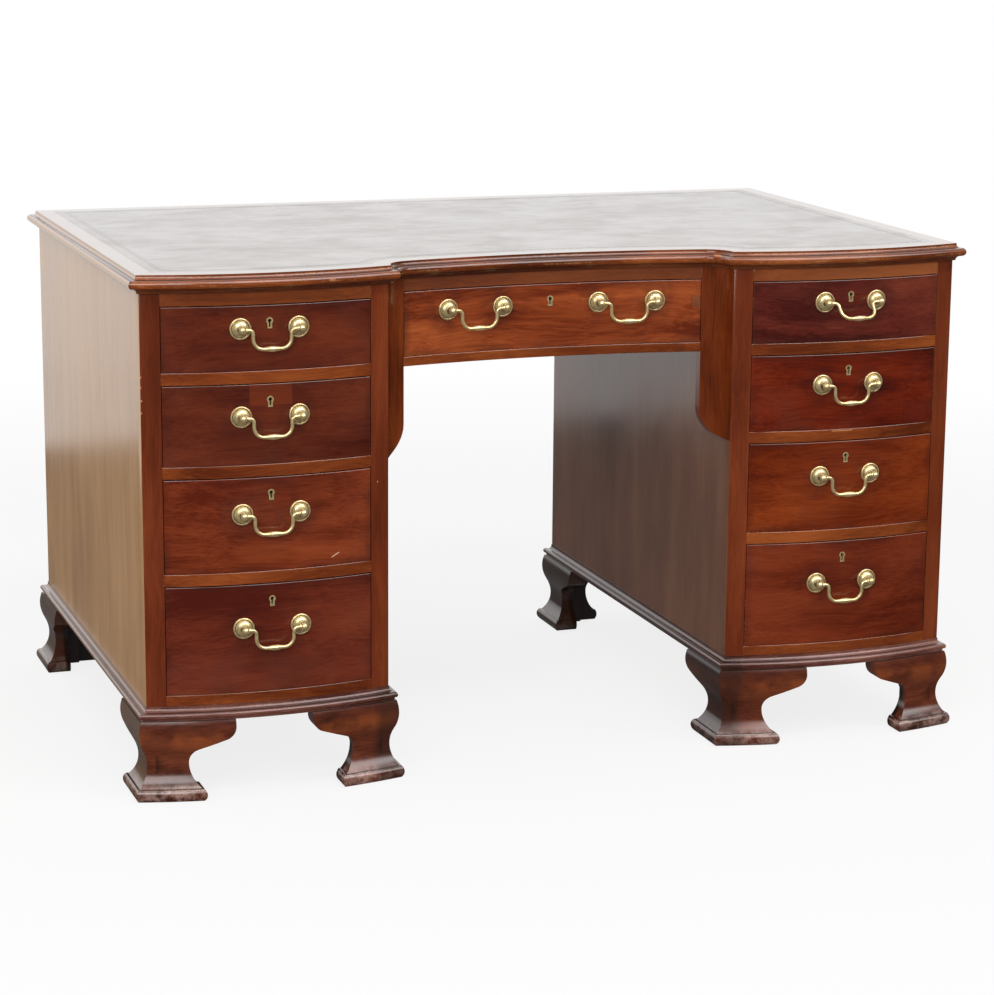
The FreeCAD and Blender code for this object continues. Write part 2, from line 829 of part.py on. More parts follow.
def base_mouldings():
    deep = S["base_frame_width"] + S["bow_rise"]
    z = (S["foot_height"] - overrun, base_top + overrun)
    lengths = []
    for side, run in pedestal_runs("base", base_profile, deep).items():
        room = between_mitres(f"base_{side}_room", *RUN_ENDS[side], deep, deep, z)
        lengths.append(common(f"base_{side}", run, room))
    lengths += [mirror(f"{piece.Name}_right", piece) for piece in lengths]
    node("base_mouldings", lengths)


def foot_profile(name, way, x, y):
    """Section of an ogee bracket: a swelling pad, a hollow and a swell above it."""
    pad_out = S["pad_overhang"] - S["pad_swell"]
    neck_out = pad_out - S["pad_step"]
    hollow = arc_radius(
        neck_out - S["ogee_turn_reach"], S["ogee_turn_height"] - S["pad_height"], S["ogee_hollow"]
    )
    swell = arc_radius(
        S["ogee_top_reach"] - S["ogee_turn_reach"],
        S["foot_height"] - S["ogee_turn_height"],
        S["ogee_swell"],
    )
    pad_round = arc_radius(S["pad_height"], 0, S["pad_swell"])
    corners = [
        (-S["foot_back"], 0),
        (pad_out, 0, "round", pad_round),
        (pad_out, S["pad_height"]),
        (neck_out, S["pad_height"], "hollow", hollow),
        (S["ogee_turn_reach"], S["ogee_turn_height"], "round", swell),
        (S["ogee_top_reach"], S["foot_height"]),
        (-S["foot_back"], S["foot_height"]),
    ]
    return stand_up(outline(name, corners), way, x, y, 0)


def bracket_outline(name):
    """Elevation of one bracket, from past the corner on its left to the tip of its wing."""
    pad_end = S["pad_reach"] - S["pad_swell"]
    neck_start = pad_end - S["pad_step"]
    neck_flare = arc_radius(
        0, 2 * (S["neck_height"] - S["pad_height"]), neck_start - S["neck_reach"]
    )
    lean = sine(S["wing_slope"])
    level = cosine(S["wing_slope"])
    belly_start = (
        S["neck_reach"] + S["neck_round"] * (1 - lean),
        S["neck_height"] + S["neck_round"] * level,
    )
    belly_x = S["wing_reach"] - S["wing_round"] * (1 - lean)
    belly_z = belly_start[1] + (belly_x - belly_start[0]) * lean / level
    past_corner = S["pad_overhang"] + S["wing_round"]
    corners = [
        (-past_corner, 0),
        (pad_end, 0, "round", arc_radius(S["pad_height"], 0, S["pad_swell"])),
        (pad_end, S["pad_height"]),
        (neck_start, S["pad_height"], "hollow", neck_flare),
        (S["neck_reach"], S["neck_height"], "hollow", S["neck_round"]),
        belly_start,
        (belly_x, belly_z, "round", S["wing_round"]),
        (S["wing_reach"], belly_z + S["wing_round"] * level),
        (S["wing_reach"], S["foot_height"]),
        (-past_corner, S["foot_height"]),
    ]
    return outline(name, corners)


def bracket(name, run, corner, side, far, outline_way, elevation_way, depth):
    """One bracket: a length of the profile, cut to its elevation and mitred at the corner."""
    reach = S["pad_overhang"] + S["foot_back"]
    z = (ZERO, S["foot_height"])
    room = prism(
        f"{name}_room",
        [
            along(corner[0], corner[1], reach),
            along(corner[0], corner[1], -reach),
            far[0],
            far[1],
        ],
        z,
    )
    mitred = common(f"{name}_mitred", run, room)
    sketch = stand_up(bracket_outline(f"{name}_outline"), outline_way, *elevation_way)
    shape = extrude(f"{name}_elevation", sketch, side, depth)
    return common(name, mitred, shape)


def foot_pair(corner_name, runs, corner, x_way, y_way):
    """The two brackets of one foot, and the block glued in their corner."""
    (x, y), _ = corner
    wing = S["wing_reach"] + overrun
    reach = S["pad_overhang"] + S["foot_back"] + S["bow_rise"]
    across_run = runs["front"] if y_way > 0 else runs["back"]
    along_run = runs["outer"] if x_way > 0 else runs["inner"]
    far_x = x + x_way * wing
    far_y = y + y_way * wing
    across_far = [(far_x, y + y_way * reach), (far_x, y - y_way * reach)]
    along_far = [(x + x_way * reach, far_y), (x - x_way * reach, far_y)]
    across = bracket(
        f"{corner_name}_across",
        across_run,
        corner,
        (0, 1, 0),
        across_far,
        RIGHT if x_way > 0 else LEFT,
        (x, y - reach, 0),
        2 * reach,
    )
    lengthwise = bracket(
        f"{corner_name}_along",
        along_run,
        corner,
        (1, 0, 0),
        along_far,
        BACK if y_way > 0 else FRONT,
        (x - reach, y, 0),
        2 * reach,
    )
    near = S["foot_back"]
    deep = near + S["glue_block"]
    block_x = sorted((x + x_way * near, x + x_way * deep), key=value_of)
    block_y = sorted((y + y_way * near, y + y_way * deep), key=value_of)
    block = box(f"{corner_name}_block", block_x, block_y, (S["glue_block_lift"], S["foot_height"]))
    return [across, lengthwise, block]


def feet():
    deep = S["pad_overhang"] + S["foot_back"] + S["bow_rise"]
    runs = pedestal_runs("foot", foot_profile, deep)
    pieces = foot_pair("front_outer_foot", runs, FRONT_OUTER, 1, 1)
    pieces += foot_pair("front_inner_foot", runs, FRONT_INNER, -1, 1)
    pieces += foot_pair("back_outer_foot", runs, BACK_OUTER, 1, -1)
    pieces += foot_pair("back_inner_foot", runs, BACK_INNER, -1, -1)
    left = node("left_feet", pieces)
    node("right_feet", [mirror("right_feet_mirrored", left)])


def keyhole(name, x, y, z, wall):
    """A keyhole's room: a round head with a slot hanging from it, grown by a wall."""
    half = S["key_slot"] / 2 + wall
    head = bar(f"{name}_head", x, y, z, S["key_head"] + wall)
    slot = box(f"{name}_slot", (x - half, x + half), y, (z - S["key_slot_drop"] - wall, z))
    return fuse(name, [head, slot])


def handle_post(name, shank):
    """A turned roundel with its ball-ended post and shank, pointing along -Y, and the nut behind it."""
    neck = S["neck_radius"]
    ball = S["knob_radius"]
    ball_foot = S["knob_reach"] - root(ball * ball - neck * neck)
    inside_rim = S["plate_radius"] - S["rim_width"]
    sketch = outline(
        f"{name}_section",
        [
            (0, -shank),
            (S["shank_radius"], -shank),
            (S["shank_radius"], 0),
            (S["plate_radius"], 0),
            (S["plate_radius"], S["plate_rim"]),
            (inside_rim, S["plate_rim"] + S["rim_step"]),
            (inside_rim, S["plate_rim"]),
            (S["dome_radius"], S["plate_rim"]),
            (neck, S["dome_height"]),
            (neck, ball_foot, "round", ball),
            (0, S["knob_reach"] + ball),
        ],
    )
    sketch.Placement.Rotation = FreeCAD.Rotation(FreeCAD.Vector(1, 0, 0), 180)
    turned = doc.addObject("Part::Revolution", f"{name}_turned")
    turned.Source = sketch
    turned.Axis = FreeCAD.Vector(0, 1, 0)
    turned.Angle = 360
    turned.Solid = True
    hexagon = doc.addObject("Part::Prism", f"{name}_hexagon")
    hexagon.Polygon = 6
    hexagon.Placement.Rotation = FreeCAD.Rotation(FreeCAD.Vector(1, 0, 0), -90)
    bind(hexagon, "Circumradius", S["nut_radius"])
    bind(hexagon, "Height", S["nut_thickness"])
    nut_y = shank - S["nut_thickness"] - S["shank_spare"]
    put(hexagon, 0, nut_y, 0)
    hole = bar(f"{name}_nut_hole", 0, (nut_y, shank), 0, S["shank_radius"])
    return together(name, [turned, cut(f"{name}_nut", hexagon, [hole])])


def set_round(name, source, x, y, z, radius, angle):
    """A copy of a piece that points along -Y, set on an upright round and turned to its normal."""
    piece = together(name, [source])
    bind(piece, "Placement.Rotation.Angle", angle)
    return put(piece, x + radius * sine(angle), y - radius * cosine(angle), z)


def bail():
    """A swan-neck bail, hanging from the X axis: two bent arms, and a grip that swells between them."""
    pin_end = S["knob_spacing"] / 2 + S["pin_depth"]
    leg = S["knob_spacing"] / 2 - S["leg_inset"]
    drop = S["bail_drop"]
    shoulder = leg + S["top_bend"]
    heel = leg - S["low_bend"]
    heel_z = S["low_bend"] - drop
    path = outline(
        "bail_arm_path",
        [
            (-pin_end, 0),
            (-shoulder, 0, "hollow", S["top_bend"]),
            (-leg, -S["top_bend"]),
            (-leg, heel_z, "round", S["low_bend"]),
            (-heel, -drop),
        ],
        closed=False,
    )
    stand_up(path, RIGHT, 0, 0, 0)
    section = doc.addObject("Part::Circle", "bail_section")
    section.Placement.Rotation = FreeCAD.Rotation(FreeCAD.Vector(0, 1, 0), 90)
    bind(section, "Radius", S["bail_radius"])
    put(section, -pin_end, 0, 0)
    doc.recompute()
    arm = doc.addObject("Part::Sweep", "bail_arm")
    arm.Sections = [section]
    arm.Spine = (path, [f"Edge{number}" for number in range(1, 5)])
    arm.Solid = True
    swell = arc_radius(2 * heel, 0, S["grip_radius"] - S["bail_radius"])
    half_section = [
        (-heel, 0),
        (heel, 0),
        (heel, S["bail_radius"], "round", swell),
        (-heel, S["bail_radius"]),
    ]
    grip = doc.addObject("Part::Revolution", "bail_grip")
    grip.Source = stand_up(outline("bail_grip_section", half_section), RIGHT, 0, 0, -drop)
    grip.Axis = FreeCAD.Vector(1, 0, 0)
    grip.Angle = 360
    grip.Solid = True
    bind(grip, "Base.z", -drop)
    return fuse("bail_shape", [arm, mirror("bail_other_arm", arm), grip])


def drawer_box(name, x, front_back, z, tails):
    """Sides with dovetails on their front ends, a back, and a bottom let into grooves."""
    side = S["drawer_side"]
    y = (front_back, front_back + drawer_length)
    side_z = (z[0], z[1] - S["drawer_side_drop"])
    bottom_z = z[0] + S["drawer_bottom_lift"]
    inside = (x[0] + side, x[1] - side)
    lap = S["groove_depth"]
    bottom = box(
        f"{name}_bottom",
        (inside[0] - lap, inside[1] + lap),
        (y[0] - lap, y[1]),
        (bottom_z, bottom_z + S["drawer_bottom"]),
    )
    back_piece = box(
        f"{name}_back",
        inside,
        (y[1] - S["drawer_back"], y[1]),
        (bottom_z + S["drawer_bottom"], side_z[1] - S["drawer_side_drop"]),
    )
    sides = []
    for hand, side_x in (("left", (x[0], inside[0])), ("right", (inside[1], x[1]))):
        pieces = [box(f"{name}_{hand}_board", side_x, y, side_z)]
        pitch = (side_z[1] - side_z[0]) / tails
        for number in range(tails):
            middle = side_z[0] + pitch * (2 * number + 1) / 2
            pieces.append(dovetail(f"{name}_{hand}_tail_{number}", side_x, front_back, middle, pitch))
        tailed = fuse(f"{name}_{hand}_tailed", pieces)
        sides.append(cut(f"{name}_{hand}_side", tailed, [bottom]))
    return sides, back_piece, bottom


def dovetail(name, x, shoulder_y, middle, pitch):
    """One tail in front of the shoulder, broad at its end."""
    neck = pitch * TAIL_NECK_SHARE
    end = pitch * TAIL_END_SHARE
    tail = doc.addObject("Part::Wedge", name)
    bind(tail, "Xmin", x[0])
    bind(tail, "X2min", x[0])
    bind(tail, "Xmax", x[1])
    bind(tail, "X2max", x[1])
    bind(tail, "Ymin", shoulder_y - S["tail_length"])
    bind(tail, "Ymax", shoulder_y)
    bind(tail, "Zmin", middle - end)
    bind(tail, "Zmax", middle + end)
    bind(tail, "Z2min", middle - neck)
    bind(tail, "Z2max", middle + neck)
    return tail


def drawer(name, x, front_back, face_y, z, tails, blank, handles):
    """One drawer: its front, box, brass fittings, lock bolt and bails.
    handles holds (bail name, posts, bail place, bail turn, bail tilt) for each handle."""
    middle = (x[0] + x[1]) / 2
    sides, back_piece, bottom = drawer_box(name, x, front_back, z, tails)
    key_z = z[1] + S["drawer_top_gap"] - S["key_drop"]
    lock_y = (front_back - S["lock_depth"], front_back)
    lock_x = (middle - S["lock_width"] / 2, middle + S["lock_width"] / 2)
    lock_room = box(f"{name}_lock_room", lock_x, lock_y, (z[1] - S["lock_height"], z[1]))
    bolt_floor = z[1] - S["bolt_sink"] - S["bolt_length"]
    bolt_y = lock_middle(front_back)
    slot_floor = bolt_floor - S["bolt_clearance"]
    slot_rise = z[1] - slot_floor + overrun
    slot = bolt_room(f"{name}_bolt_slot", middle, bolt_y, slot_floor, S["bolt_clearance"], slot_rise)
    passage_y = (face_y - overrun, bolt_y - S["bolt_thickness"] / 2 - S["bolt_clearance"])
    passage = keyhole(f"{name}_passage", middle, passage_y, key_z, ZERO)
    case = cut(f"{name}_lock_case", lock_room, [slot, passage])
    liner_y = (face_y - S["liner_proud"], face_y + S["liner_depth"])
    liner_room = keyhole(f"{name}_liner_room", middle, liner_y, key_z, S["liner_wall"])
    liner = cut(f"{name}_liner", liner_room, [passage])
    posts = [piece for handle in handles for piece in handle[1]]
    tools = sides + [bottom, fuse(f"{name}_lock_cuts", [lock_room, passage, liner_room])] + posts
    node(f"{name}_front", [cut(f"{name}_front_board", blank, tools)])
    node(f"{name}_box", sides + [back_piece, bottom])
    node(f"{name}_fittings", [case, liner] + posts)
    bolt = bolt_room(f"{name}_bolt", middle, bolt_y, bolt_floor, ZERO, S["bolt_length"])
    node(f"{name}_lock_bolt", [bolt])
    for bail_name, _, place, turn, tilt in handles:
        hang_bail(bail_name, place, turn, tilt)


def hang_bail(name, place, turn, tilt):
    """A bail in its posts: tilted out about its own axis, then turned to face as its drawer does."""
    hung = together(f"{name}_tilted", [bail_shape])
    if tilt is not None:
        hung.Placement.Rotation = FreeCAD.Rotation(FreeCAD.Vector(-1, 0, 0), tilt.value)
        bind(hung, "Placement.Rotation.Angle", tilt)
    piece = node(name, [hung])
    if turn is not None:
        bind(piece, "Placement.Rotation.Angle", turn)
    put(piece, *place)


def bored_post(name, placed, place, turn, way):
    """A placed post with the blind bore for the bail's pin, entered from the bail's side."""
    bore = doc.addObject("Part::Cylinder", f"{name}_bore")
    bore.Placement.Rotation = FreeCAD.Rotation(FreeCAD.Vector(0, 1, 0), 90)
    bind(bore, "Radius", S["bail_radius"] + S["pin_clearance"])
    deep = S["pin_depth"] + S["bore_floor"]
    bind(bore, "Height", deep + S["knob_radius"] + overrun)
    end = way * S["knob_spacing"] / 2
    start = end - deep if way < 0 else end - S["knob_radius"] - overrun
    put(bore, start, 0, 0)
    bored = together(f"{name}_bore_turned", [bore])
    if turn is not None:
        bind(bored, "Placement.Rotation.Angle", turn)
    put(bored, *place)
    return cut(name, placed, [bored])


def pedestal_handle(name, x, z, tilt):
    """Posts on the bow's normals, and the bail that hangs between their balls."""
    ball_round = bow_radius + ball_reach
    lean = S["knob_spacing"] / 2 / ball_round
    angle = keep(f"{name}_angle", arc_sine(lean))
    place = (x, bow_y - ball_round * root(1 - lean * lean), z)
    bed = bow_radius - S["plate_sink"]
    posts = []
    for hand, way in (("left", -1), ("right", 1)):
        post_name = f"{name}_{hand}_post"
        placed = set_round(f"{post_name}_placed", bow_post_shape, x, bow_y, z, bed, way * angle)
        posts.append(bored_post(post_name, placed, place, None, way))
    return (f"{name}_bail", posts, place, None, tilt)


def frieze_handle(name, side, z):
    """The same on the hollow of the frieze drawer, off to one side of its middle."""
    ball_round = hollow_radius - ball_reach
    lean = S["knob_spacing"] / 2 / ball_round
    spread = keep(f"{name}_spread", arc_sine(lean))
    swing = keep(f"{name}_swing", arc_sine(side * S["centre_handle_offset"] / ball_round))
    middle_round = ball_round * root(1 - lean * lean)
    place = (middle_round * sine(swing), hollow_y + middle_round * cosine(swing), z)
    bed = hollow_radius + S["plate_sink"]
    posts = []
    for hand, way in (("left", -1), ("right", 1)):
        post_name = f"{name}_{hand}_post"
        turn = keep(f"{post_name}_turn", -(swing + way * spread))
        placed = set_round(f"{post_name}_placed", hollow_post_shape, 0, hollow_y, z, -bed, turn)
        posts.append(bored_post(post_name, placed, place, -swing, way))
    return (f"{name}_bail", posts, place, -swing, None)


def pedestal_drawers():
    front_back = front + S["drawer_front_back"]
    face_y = front - S["bow_rise"]
    for hand, way in (("left", -1), ("right", 1)):
        x_middle = way * pedestal_x
        half = opening / 2 - S["drawer_gap"]
        x = (x_middle - half, x_middle + half)
        for level, floor in FLOORS.items():
            name = f"{hand}_drawer_{level}"
            ceiling = floor + S[f"drawer_height_{level}"]
            z = (floor + S["drawer_lift"], ceiling - S["drawer_top_gap"])
            room = (z[0] - overrun, z[1] + overrun)
            bow = post(f"{name}_bow", x_middle, bow_y, room, bow_radius)
            board = box(f"{name}_front_blank", x, (face_y, front_back), z)
            blank = common(f"{name}_front_bowed", board, bow)
            stuck = hand == "right" and level == "one"
            tilt = S["stuck_handle_angle"] if stuck else None
            handle = pedestal_handle(name, x_middle, ceiling - S[f"handle_drop_{level}"], tilt)
            drawer(name, x, front_back, face_y, z, TAILS[level], blank, [handle])


def centre_drawer():
    name = "centre_drawer"
    half = frieze_half - S["drawer_gap"]
    x = (-half, half)
    face_y = hollow_front + S["hollow_depth"]
    front_back = face_y + S["centre_front_thickness"]
    z = (centre_floor + S["drawer_lift"], rail_top - S["drawer_top_gap"])
    board = box(f"{name}_front_blank", x, (hollow_front, front_back), z)
    blank = cut(f"{name}_front_hollowed", board, [hollow_post(f"{name}_hollow", z)])
    handle_z = rail_top - S["centre_handle_drop"]
    handles = [
        frieze_handle(f"{name}_left", -1, handle_z),
        frieze_handle(f"{name}_right", 1, handle_z),
    ]
    drawer(name, x, front_back, face_y, z, TAILS["centre"], blank, handles)


def check_and_write():
    doc.recompute()
    failed = [piece.Name for piece in doc.Objects if "Invalid" in piece.State or "Error" in piece.State]
    if failed:
        raise RuntimeError(f"failed objects: {failed}")
    for label, piece in nodes.items():
        if piece.Shape.isNull() or not piece.Shape.isValid() or not piece.Shape.Solids:
            raise RuntimeError(f"{label} has no valid solid")
    os.makedirs("parts", exist_ok=True)
    for label, piece in nodes.items():
        piece.Shape.exportStep(f"parts/{label}.step")
        print(label, len(piece.Shape.Solids), round(piece.Shape.Volume / 1000, 1))


desk_top()
case_sides()
back_panels()
front_stiles()
drawer_rails()
kneehole_brackets()
drawer_runners()
bottom_boards()
base_mouldings()
feet()

# Shanks long enough for the fronts that they go through
bow_wood = S["drawer_front_back"] + S["bow_rise"]
hollow_fall = S["centre_handle_offset"] * S["centre_handle_offset"] / (2 * hollow_radius)
shank_end = S["nut_thickness"] + S["shank_spare"]
bow_post_shape = handle_post("bow_handle_post", keep("bow_shank", bow_wood + shank_end))
hollow_shank = keep("hollow_shank", S["centre_front_thickness"] + hollow_fall + shank_end)
hollow_post_shape = handle_post("hollow_handle_post", hollow_shank)
bail_shape = bail()
pedestal_drawers()
centre_drawer()
check_and_write()
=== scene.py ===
import json
import math

import bmesh
import bpy
from mathutils import Matrix, Vector


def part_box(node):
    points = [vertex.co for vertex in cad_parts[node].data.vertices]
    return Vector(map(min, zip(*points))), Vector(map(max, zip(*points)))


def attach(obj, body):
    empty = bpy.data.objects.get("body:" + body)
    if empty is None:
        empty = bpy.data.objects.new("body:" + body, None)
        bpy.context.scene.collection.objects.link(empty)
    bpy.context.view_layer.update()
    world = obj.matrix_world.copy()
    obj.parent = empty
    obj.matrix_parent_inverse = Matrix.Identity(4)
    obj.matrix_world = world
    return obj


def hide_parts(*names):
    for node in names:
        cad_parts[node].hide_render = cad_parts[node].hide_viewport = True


# A mahogany kneehole desk: bowed pedestals, a hollow frieze drawer, a leather-lined top and brass bails.
# Lengths are in metres, in the frame of the solids: +X to the desk's right, -Y to the sitter, +Z up.

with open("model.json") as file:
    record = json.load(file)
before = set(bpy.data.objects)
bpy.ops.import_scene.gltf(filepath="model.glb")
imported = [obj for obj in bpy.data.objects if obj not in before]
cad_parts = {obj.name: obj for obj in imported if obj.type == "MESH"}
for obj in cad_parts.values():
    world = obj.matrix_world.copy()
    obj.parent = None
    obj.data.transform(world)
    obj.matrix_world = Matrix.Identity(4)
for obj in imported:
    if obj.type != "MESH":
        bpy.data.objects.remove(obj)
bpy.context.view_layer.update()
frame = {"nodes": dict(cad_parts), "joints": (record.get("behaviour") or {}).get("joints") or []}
nodes = frame["nodes"]
joints = {joint["name"]: joint for joint in frame["joints"]}

HANDS = ("left", "right")
LEVELS = ("one", "two", "three", "four")
PEDESTAL_DRAWERS = [f"{hand}_drawer_{level}" for hand in HANDS for level in LEVELS]
DRAWERS = PEDESTAL_DRAWERS + ["centre_drawer"]
BAILS = [f"{drawer}_bail" for drawer in PEDESTAL_DRAWERS]
BAILS += [f"centre_drawer_{hand}_bail" for hand in HANDS]
STUCK_BAIL = "right_drawer_one_bail"
STUCK_ANGLE = math.radians(40)

# Plan of the front, as the solids have it
DEPTH = 0.796
PEDESTAL_WIDTH = 0.373
BOW_RISE = 0.025
FRIEZE_HALF = 0.2405
FRIEZE_SETBACK = 0.0405
HOLLOW_DEPTH = 0.0225
PEDESTAL_MIDDLE = 0.4635
KNEEHOLE_LIMIT = 0.28
SIDE_LIMIT = 0.645
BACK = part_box("back_panels")[1].y
FRONT = BACK - DEPTH
BOW_RADIUS = (PEDESTAL_WIDTH**2 / 4 + BOW_RISE**2) / (2 * BOW_RISE)
BOW_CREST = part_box("left_drawer_one_front")[0].y
HOLLOW_RADIUS = (FRIEZE_HALF**2 + HOLLOW_DEPTH**2) / (2 * HOLLOW_DEPTH)
HOLLOW_CREST = FRONT + FRIEZE_SETBACK + HOLLOW_DEPTH

# Sections of the mouldings
TOP_OVERHANG = 0.017
TOP_BEAD = 0.0065
TOP_LEDGE = 0.0012
TOP_COVE = 0.005
UNDER_COVE = 0.007
LEATHER_MARGIN = 0.027
BASE_OVERHANG = 0.0125
BASE_BEAD = 0.0045
BASE_NOSE = 0.008
BASE_LEDGE = 0.001
BASE_COVE = 0.006
BASE_FRAME = 0.045

# Heights of the mouldings and feet
CASE_TOP, DESK_TOP = (corner.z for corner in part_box("desk_top_border"))
FOOT_TOP, BASE_TOP = (corner.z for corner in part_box("base_mouldings"))
PAD_HEIGHT = 0.0185
TOP_QUIRK = DESK_TOP - 0.007
BEAD_FOOT = CASE_TOP + 0.007
BASE_QUIRK = BASE_TOP - 0.0085
RAIL_FOOT = CASE_TOP - 0.030
RAIL_MIDDLE = CASE_TOP - 0.015

# How far the arrises of boards and fronts are eased
EASING = {
    "front_stiles": 0.0004,
    "drawer_rails": 0.0009,
    "kneehole_brackets": 0.001,
    "back_panels": 0.0008,
    "left_pedestal_sides": 0.0003,
    "right_pedestal_sides": 0.0003,
}
FRONT_EASING = 0.0009

# Handles
KNOB_SPACING = 0.089
KNOB_REACH = 0.017
BOW_SHANK = 0.0435
HOLLOW_SHANK = 0.033
SHANK_RADIUS = 0.0024
BAIL_PIN = 0.0475
BAIL_COLLAR = 0.0385
BAIL_LEG = 0.0285
BAIL_DROP = 0.0285
BAIL_TOP_BEND = 0.0065
BAIL_LOW_BEND = 0.015
BAIL_ROD = 0.0026
BAIL_COLLAR_ROD = 0.0036
BAIL_COLLAR_STEPS = (
    (-0.0014, BAIL_ROD),
    (-0.0009, BAIL_COLLAR_ROD),
    (0.0009, BAIL_COLLAR_ROD),
    (0.0014, BAIL_ROD),
)
BAIL_GRIP_ROD = 0.0042
BAIL_GRIP_SWELL = ((0.8, 0.15), (0.6, 0.45), (0.4, 0.78), (0.2, 0.95), (0.0, 1.0))

# Half section of a post, out from its axis and up from its roundel's back
ROUNDEL_FOOT = (0.0156, 0.0)
RIM_MIDDLE = (0.0146, 0.0014)
RIM_RADIUS = 0.0014
GROOVE = ((0.0137, 0.0027), (0.0131, 0.0023))
DOME_MIDDLE = (0.0056, 0.0006)
DOME_FOOT = (0.0126, 0.0024)
DOME_HEAD = (0.0058, 0.0078)
NECK_MIDDLE = (0.0071, 0.0107)
NECK_FOOT = (0.0046, 0.0082)
NECK_HEAD = (0.0044, 0.0130)
BALL_FOOT = (0.00485, 0.0142)
BALL_HEAD = (0.0, 0.0226)

# Seams and tooling of the writing leather
SEAM = 0.336
TOOLED_GAPS = (0.0145, 0.0036)
TOOLED_WIDTH = 0.0006
TOOLED_DEPTH = 0.0002

# Dirt, wear, painted shade and painted light: how far each reaches, or where it begins and where it is full
POST_SHADOW_AND_GRIME = (0.05, 0.017)
RIM_GRIME = 0.014
PALE_RAIL = (0.2, 0.5)
TOP_SHADE_REACH = 0.001
BASE_SHADE_REACH = 0.0009
FOOT_SHADE_REACH = 0.0013
# Painted light on the upper belly of each foot: where it begins and where it ends
FOOT_PAINTED_LIGHT = (0.065, 0.092)
FOOT_PAINTED_LIGHT_END = (0.114, 0.096)
FOOT_INSIDE_SHADE = (0.030, 0.036)
REAR_SHADE = (0.1, 0.25)
MOULDING_WEAR = 0.002
PAD_WEAR = 0.004

# How near counts as the same place, as joined at a mirror and as on a front's rim
SAME_PLACE = 1e-6
MIRROR_JOIN = 1e-5
AT_RIM = 1e-4

# Angles between faces: up to the first they are one flat, past the others an edge is eased, mitred or drawn
FLAT = math.radians(0.2)
ARRIS = math.radians(50)
MITRE = math.radians(30)
BOARD_EDGE = math.radians(20)
MOULDING_EDGE = math.radians(30)
LEATHER_EDGE = math.radians(5)
POST_EDGE = math.radians(38)
BAIL_EDGE = math.radians(60)

# Floor, lamps and camera
FLOOR_RADIUS = 3.6
FLOOR_HEIGHT = -0.0005
NEAR_FLOOR = (-0.6, 0.2)
FAR_WALL = (2.15, 2.35)
KEY_LAMP = {"place": (-2.3, -4.2, 2.7), "aim": (0.0, 0.0, 0.4), "size": (3.0, 2.2), "power": 135.0}
OVERHEAD_LAMP = {"place": (0.7, -2.4, 4.2), "aim": (0.0, -0.3, 0.6), "size": (4.0, 0.5), "power": 72.0}
CAMERA_PLACE = (-1.49478, -4.40083, 1.36653)
CAMERA_YAW, CAMERA_PITCH, CAMERA_ROLL = (math.radians(angle) for angle in (19.05, 12.488, 0.443))
LENS = 104.16
SENSOR_WIDTH = 36.0

# Colours as they look on a screen, from 0 to 255. Show woods have four: deep, body, pale and rubbed
STILE_TONES = ((80, 32, 15), (100, 42, 19), (119, 54, 25), (160, 104, 66))
RAIL_TONES = ((82, 33, 12), (113, 52, 20), (142, 72, 29), (172, 114, 70))
BRACKET_TONES = ((66, 23, 8), (96, 39, 13), (122, 54, 20), (150, 94, 56))
SIDE_TONES = ((167, 122, 77), (180, 135, 87), (193, 148, 100), (208, 174, 136))
KNEEHOLE_TONES = ((104, 68, 50), (116, 77, 56), (128, 86, 63), (150, 112, 88))
BACK_TONES = ((78, 40, 24), (104, 58, 34), (126, 76, 46), (160, 112, 78))
BORDER_TONES = ((74, 32, 14), (110, 53, 24), (146, 78, 37), (200, 146, 102))
# The base's tones are greyed and lightened for worn polish, and as painted sheen on its mouldings
BASE_TONES = ((74, 38, 31), (108, 66, 56), (140, 98, 86), (176, 128, 104))
FOOT_TONES = ((50, 22, 14), (82, 38, 24), (108, 54, 32), (170, 122, 98))
FRONT_TONES = {
    "left_drawer_one": ((58, 17, 10), (83, 31, 17), (102, 43, 21), (136, 80, 50)),
    "left_drawer_two": ((56, 17, 10), (80, 30, 16), (100, 42, 21), (136, 80, 50)),
    "left_drawer_three": ((80, 26, 11), (110, 45, 21), (134, 61, 28), (146, 86, 50)),
    "left_drawer_four": ((70, 22, 13), (95, 37, 21), (114, 49, 27), (136, 80, 50)),
    "right_drawer_one": ((60, 17, 13), (88, 33, 24), (112, 50, 32), (136, 82, 58)),
    "right_drawer_two": ((58, 13, 5), (92, 25, 7), (116, 40, 13), (140, 78, 44)),
    "right_drawer_three": ((80, 23, 5), (105, 38, 10), (130, 55, 17), (156, 92, 48)),
    "right_drawer_four": ((76, 23, 9), (102, 38, 16), (122, 51, 23), (146, 86, 50)),
    "centre_drawer": ((92, 34, 14), (134, 61, 28), (164, 85, 38), (176, 112, 66)),
}
LINING_TONES = ((118, 84, 50), (150, 112, 70), (172, 134, 90))
LEATHER_TONES = ((98, 86, 80), (111, 102, 97), (122, 114, 109))

# Pieces let into the fronts: middle, half size and colour
REPAIRS = {
    "left_drawer_two": [((-0.4625, -0.40, 0.606), (0.0325, 0.05, 0.0165), (122, 52, 24))],
    "right_drawer_two": [((0.596, -0.39, 0.5215), (0.031, 0.05, 0.0185), (76, 25, 14))],
    "centre_drawer": [((0.232, -0.33, 0.7035), (0.0075, 0.05, 0.0085), (78, 66, 48))],
}

